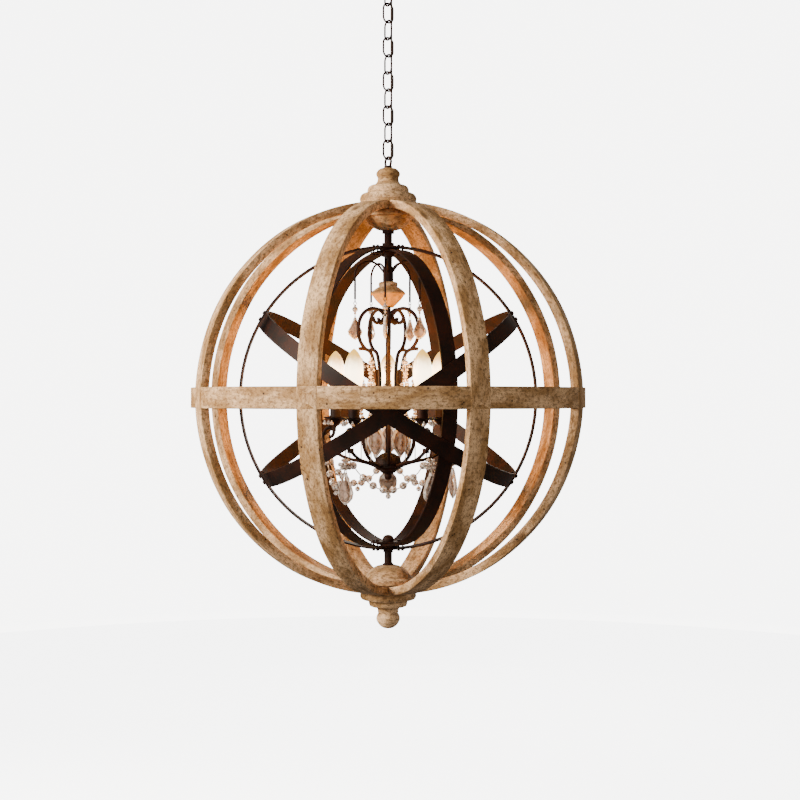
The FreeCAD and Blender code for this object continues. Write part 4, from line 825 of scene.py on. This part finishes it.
def hub_disc():
    """The round crystal under the hub, where the solid one hangs."""
    low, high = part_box("disc_drop")
    centre_y = (low.y + high.y) / 2 / MM
    bottom = (low.z - ORB_Z) / MM
    top = (high.z - ORB_Z) / MM
    glass = bmesh.new()
    round_disc(glass, (0.0, centre_y, bottom + DISC_RADIUS), DISC_RADIUS, DISC_THICKNESS)
    finished_glass("hub_disc_glass", glass, "disc_drop", ["disc_drop"])
    wire = bmesh.new()
    wire_eye(wire, Vector((0, centre_y, top - EYE_RADIUS - EYE_WIRE / 2)), 90, to_row())
    finished_wire("hub_disc_wire", wire, "disc_drop")


def leaves():
    glass = bmesh.new()
    for azimuth in share_of_circle(LIGHT_AZIMUTH):
        cut_plate(glass, LEAF, LEAF_SIZE, stand(azimuth, LEAF_RADIUS, LEAF_TOP_Z))
    finished_glass("leaf_glass", glass, "orb", ["leaf_crystals"])


def garland_joints(azimuth):
    """The points between a garland's beads, hanging in a curve."""
    a = polar(GARLAND_RADIUS, azimuth, GARLAND_END_Z)
    b = polar(GARLAND_RADIUS, azimuth + 360.0 / LIGHTS, GARLAND_END_Z)
    inset = (b - a).normalized() * GARLAND_INSET * MM
    a, b = a + inset, b - inset
    joints = []
    for i in range(GARLAND_BEADS + 1):
        share = i / GARLAND_BEADS
        sag = GARLAND_SAG * MM * (1 - (2 * share - 1) ** 2)
        joints.append(a.lerp(b, share) - Vector((0, 0, sag)))
    return joints


def garlands():
    """Strings of cut beads between the arms, on visible wire, and the leaves' eyes."""
    glass = bmesh.new()
    wire = bmesh.new()
    for azimuth in share_of_circle(LIGHT_AZIMUTH):
        joints = garland_joints(azimuth)
        for start, end in zip(joints[:-1], joints[1:]):
            turn = (end - start).to_track_quat("Z", "Y").to_matrix().to_4x4()
            spin = Matrix.Rotation(random.uniform(0, math.pi), 4, "Z")
            cut_bead(glass, GARLAND_BEAD_RADIUS * MM,
                     Matrix.Translation((start + end) / 2) @ turn @ spin)
            round_pin(wire, start, end, GARLAND_WIRE * MM)
        middle = joints[GARLAND_BEADS // 2]
        ball = middle - Vector((0, 0, GARLAND_BALL_DROP * MM))
        cut_bead(glass, GARLAND_BALL_RADIUS * MM, Matrix.Translation(ball))
        round_pin(wire, middle, ball, GARLAND_BALL_WIRE * MM)
        wire_eye(wire, Vector((0, 0, 0)), 90, stand(azimuth, LEAF_RADIUS, LEAF_EYE_Z),
                 LEAF_EYE_WIRE)
    finished_glass("garland_glass", glass, "orb", ["garland_beads"])
    finished_wire("garland_wire", wire, "orb", ["crystal_wires"])


def pan_crystals():
    """Small beads under the rims of the candle pans."""
    glass = bmesh.new()
    for azimuth in share_of_circle(LIGHT_AZIMUTH):
        base = stand(azimuth, CANDLE_RADIUS)
        for around in range(30, 360, 60):
            spot = base @ about_axis(around) @ lift(0, -PAN_BEAD_REACH, PAN_BEAD_Z)
            cut_bead(glass, PAN_BEAD_RADIUS, spot)
            cut_bead(glass, PAN_TOP_BEAD_RADIUS, spot @ lift(0, 0, PAN_TOP_BEAD_RISE))
    finished_glass("pan_rim_glass", glass, "orb", ["pan_drops"])


def sprays():
    """A stiff wire standing on each arm, with small beads bunched along its upper part.  Sines
    vary how far the beads stand out and how big they are."""
    glass = bmesh.new()
    wire = bmesh.new()
    for azimuth in share_of_circle(LIGHT_AZIMUTH):
        base = stand(azimuth, SPRAY_RADIUS)
        round_pin(wire, base @ Vector((0, 0, SPRAY_FOOT_Z)), base @ Vector((0, 0, SPRAY_TOP_Z)),
                  SPRAY_WIRE * MM)
        cut_bead(glass, SPRAY_TIP_BEAD_RADIUS, base @ lift(0, 0, SPRAY_TOP_Z + 2.0))
        for level in range(SPRAY_LEVELS):
            z = SPRAY_TOP_Z - 5.0 - SPRAY_LEVEL_STEP * level
            reach = SPRAY_REACH + SPRAY_REACH_SWING * math.sin(1.3 * level)
            for k in range(SPRAY_BEADS_A_LEVEL):
                around = 360.0 / SPRAY_BEADS_A_LEVEL * k + 57.0 * level
                bead = SPRAY_BEAD_RADIUS + SPRAY_BEAD_SWING * math.sin(2.1 * level + k)
                cut_bead(glass, bead, base @ about_axis(around) @ lift(0, -reach, z))
    finished_glass("spray_glass", glass, "orb")
    finished_wire("spray_wire", wire, "orb")


# ---------------------------------------------------------------- lamps

def bulb_radius(share):
    """Radius of the candle glass at a share of its height."""
    if share < BULB_WIDEST:
        rise = math.sin(math.pi / 2 * share / BULB_WIDEST) ** 0.9
        return BULB_NECK_RADIUS + (BULB_RADIUS - BULB_NECK_RADIUS) * rise
    fall = (share - BULB_WIDEST) / (1 - BULB_WIDEST)
    return BULB_RADIUS * math.cos(math.pi / 2 * fall ** 1.6) ** 0.7


def bulbs():
    """Lit candle bulbs where the solid ones stand, each with its screw base and its light."""
    for number, azimuth in enumerate(share_of_circle(LIGHT_AZIMUTH), 1):
        name = "bulb_%d" % number
        low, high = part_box(name)
        centre = ((low.x + high.x) / 2 / MM, (low.y + high.y) / 2 / MM)
        foot = (low.z - ORB_Z) / MM
        seat = foot + BULB_BASE_HEIGHT
        glass = [(0.0, seat + 0.2), (6.6, seat + 0.2), (BULB_NECK_RADIUS, seat + 0.8)]
        for step in range(1, 25):
            share = step / 25
            glass.append((bulb_radius(share), seat + BULB_HEIGHT * share))
        glass += [(1.2, seat + BULB_HEIGHT - 0.3), (0.0, seat + BULB_HEIGHT)]
        bulb = lathed("%s_glass" % name, glass, BULB, name, [name], 40, centre,
                      BULB_CREASE)
        bulb.visible_shadow = False
        base = [(0.0, foot), (3.6, foot), (4.2, foot + 2.0), (5.7, foot + 3.0)]
        for thread in range(6):
            z = foot + 4.0 + thread * 2.2
            base += [(5.95, z), (5.5, z + 1.1)]
        base += [(5.9, foot + 17.6), (5.9, seat), (0.0, seat)]
        lathed("%s_base" % name, base, BRASS, name, (), 32, centre)
        light = bpy.data.lights.new("glow_%d" % number, "POINT")
        light.energy = GLOW_POWER
        light.color = GLOW_COLOUR
        light.shadow_soft_size = GLOW_RADIUS
        lamp = in_scene("glow_%d" % number, light)
        lamp.location = place(centre[0], centre[1], seat + GLOW_HEIGHT)


def dress(material, *nodes):
    """Gives carried-over CAD nodes their material."""
    for name in nodes:
        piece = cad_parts[name]
        piece.data.materials.clear()
        piece.data.materials.append(material)


# ---------------------------------------------------------------- cord

# the cord's line and sizes in metres, in the row frame
CORD_ROUTE = [
    (0.005869, -0.001247, -0.0010),
    (0.005869, -0.001247, -0.3370),
    (0.005869, -0.001247, -0.3586),
    (0.003521, -0.000748, -0.3745),
    (0.003521, -0.000748, -0.4017),
]
CORD_DIAMETER = 0.0036


def supply_cord():
    """The flex beside the chain, one smooth line from the ceiling into the stem."""
    curve = bpy.data.curves.new("supply_flex", "CURVE")
    curve.dimensions = "3D"
    curve.bevel_depth = CORD_DIAMETER / 2
    curve.bevel_resolution = 4
    curve.resolution_u = 24
    spline = curve.splines.new("NURBS")
    spline.points.add(len(CORD_ROUTE) - 1)
    for point, spot in zip(spline.points, CORD_ROUTE):
        point.co = (*spot, 1.0)
    spline.order_u = 3
    spline.use_endpoint_u = True
    flex = in_scene("supply_flex", curve)
    flex.data.materials.append(SHEATH)
    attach(flex, "chain")
    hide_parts("supply_cord")


# ---------------------------------------------------------------- studio and camera

CAMERA_DISTANCE = 2.2514    # from the orb's axis, in metres
CAMERA_TURN = 1.56          # degrees to the left of the front
SENSOR_WIDTH = 36.0
FOCAL_LENGTH = 55.65
LENS_SHIFT = (0.0148, -0.0029)
FLOOR_DROP = 1050.0         # below the orb's centre
ROOM_RADIUS = 5000.0
ROOM_BEND = 1300.0          # the radius of the curve from the floor to the wall
ROOM_TOP = 5000.0           # above the orb's centre
ROOM_GLOW = 6.0
WARM_LIGHT = (1.0, 0.92, 0.79)
# soft lights: name, place in metres from the orb's centre, size in metres, power in watts
SOFT_LIGHTS = (("key_left", (-3.3, -1.2, 1.1), (1.3, 1.6), 400.0),
               ("soft_front", (-0.3, -3.6, 0.5), (1.4, 1.4), 34.0),
               ("fill_right", (3.4, -1.0, 0.3), (1.6, 1.6), 12.0),
               ("soft_back", (0.9, 3.5, 0.9), (1.6, 1.6), 45.0))


def camera():
    lens = bpy.data.cameras.new("photo_camera")
    lens.sensor_width = SENSOR_WIDTH
    lens.lens = FOCAL_LENGTH
    lens.shift_x, lens.shift_y = LENS_SHIFT
    lens.clip_end = 50.0
    viewer = in_scene("photo_camera", lens)
    turn = math.radians(CAMERA_TURN)
    viewer.location = (-CAMERA_DISTANCE * math.sin(turn), -CAMERA_DISTANCE * math.cos(turn), ORB_Z)
    viewer.rotation_euler = (math.pi / 2, 0, -turn)
    bpy.context.scene.camera = viewer


def soft_light(name, spot, size, power):
    """A broad light aimed at the orb's centre, itself out of sight."""
    light = bpy.data.lights.new(name, "AREA")
    light.shape = "RECTANGLE"
    light.size, light.size_y = size
    light.energy = power
    light.color = WARM_LIGHT
    lamp = in_scene(name, light)
    lamp.location = Vector((spot[0], spot[1], ORB_Z + spot[2]))
    aim = Vector((0.0, 0.0, ORB_Z))
    lamp.rotation_euler = (aim - lamp.location).to_track_quat("-Z", "Y").to_euler()
    lamp.visible_camera = False
    lamp.visible_transmission = False


def room():
    """A round room whose pale floor sweeps up into a pale wall.  It shows behind the object
    and through its glass, but doesn't light it."""
    shape = bmesh.new()
    floor_z = -FLOOR_DROP
    profile = [(0.0, floor_z), (ROOM_RADIUS - ROOM_BEND, floor_z)]
    for step in range(1, 13):
        angle = math.pi / 2 * step / 12
        profile.append((ROOM_RADIUS - ROOM_BEND + ROOM_BEND * math.sin(angle),
                        floor_z + ROOM_BEND * (1 - math.cos(angle))))
    profile += [(ROOM_RADIUS, ROOM_TOP), (0.0, ROOM_TOP)]
    turning(shape, profile, 96)
    mesh = bpy.data.meshes.new("pale_sweep")
    shape.to_mesh(mesh)
    shape.free()
    for polygon in mesh.polygons:
        polygon.use_smooth = True
    sweep = in_scene("pale_sweep", mesh)
    paper = Finish("pale_paper", Roughness=0.9, Emission_Strength=ROOM_GLOW)
    grain = paper.noise(paper.own_place(), 3.0, 2.0, 0.5)
    paper.to("Base Color", paper.mix(grain, (0.93, 0.93, 0.93, 1), (0.96, 0.96, 0.96, 1)))
    paper.to("Emission Color", (1.0, 1.0, 1.0, 1.0))
    mesh.materials.append(paper.material)
    sweep.visible_diffuse = False
    sweep.visible_glossy = False


def studio():
    """The pale room, a little even light from all round, and soft light mostly from the left."""
    room()
    world = bpy.data.worlds.new("soft_room")
    bpy.context.scene.world = world
    world.use_nodes = True
    air = world.node_tree.nodes["Background"]
    air.inputs["Color"].default_value = (1.0, 0.93, 0.85, 1.0)
    air.inputs["Strength"].default_value = 0.22
    for light in SOFT_LIGHTS:
        soft_light(*light)


ribs()
band_half("band_strip_right", "band_half_right", BAND_SEAM_AZIMUTH)
band_half("band_strip_left", "band_half_left", BAND_SEAM_AZIMUTH + 180.0)
turned_pieces()
kites()
teardrops()
bead_clusters()
hub_disc()
leaves()
garlands()
pan_crystals()
sprays()
bulbs()
supply_cord()
dress(IRON, "ring_front", "ring_upright_left", "ring_upright_right", "ring_tilted_outer",
      "ring_tilted_inner", "ring_bolts", "ring_clamp_strips", "stem_tube", "tube_nuts",
      "bottom_stem", "dome_nut", "stem_sleeve", "centre_rod", "lower_hub", "candle_arms",
      "candle_pans", "candle_sleeves", "crystal_hooks", "hang_eye", "chain_links",
      "chain_top_link", "canopy_loop", "canopy_collar", "canopy")
dress(COPPERY_IRON, "cage_bars")
dress(SOCKET, "lamp_sockets")
dress(STEEL, "ceiling_crossbar")
studio()
camera()
bpy.context.view_layer.update()
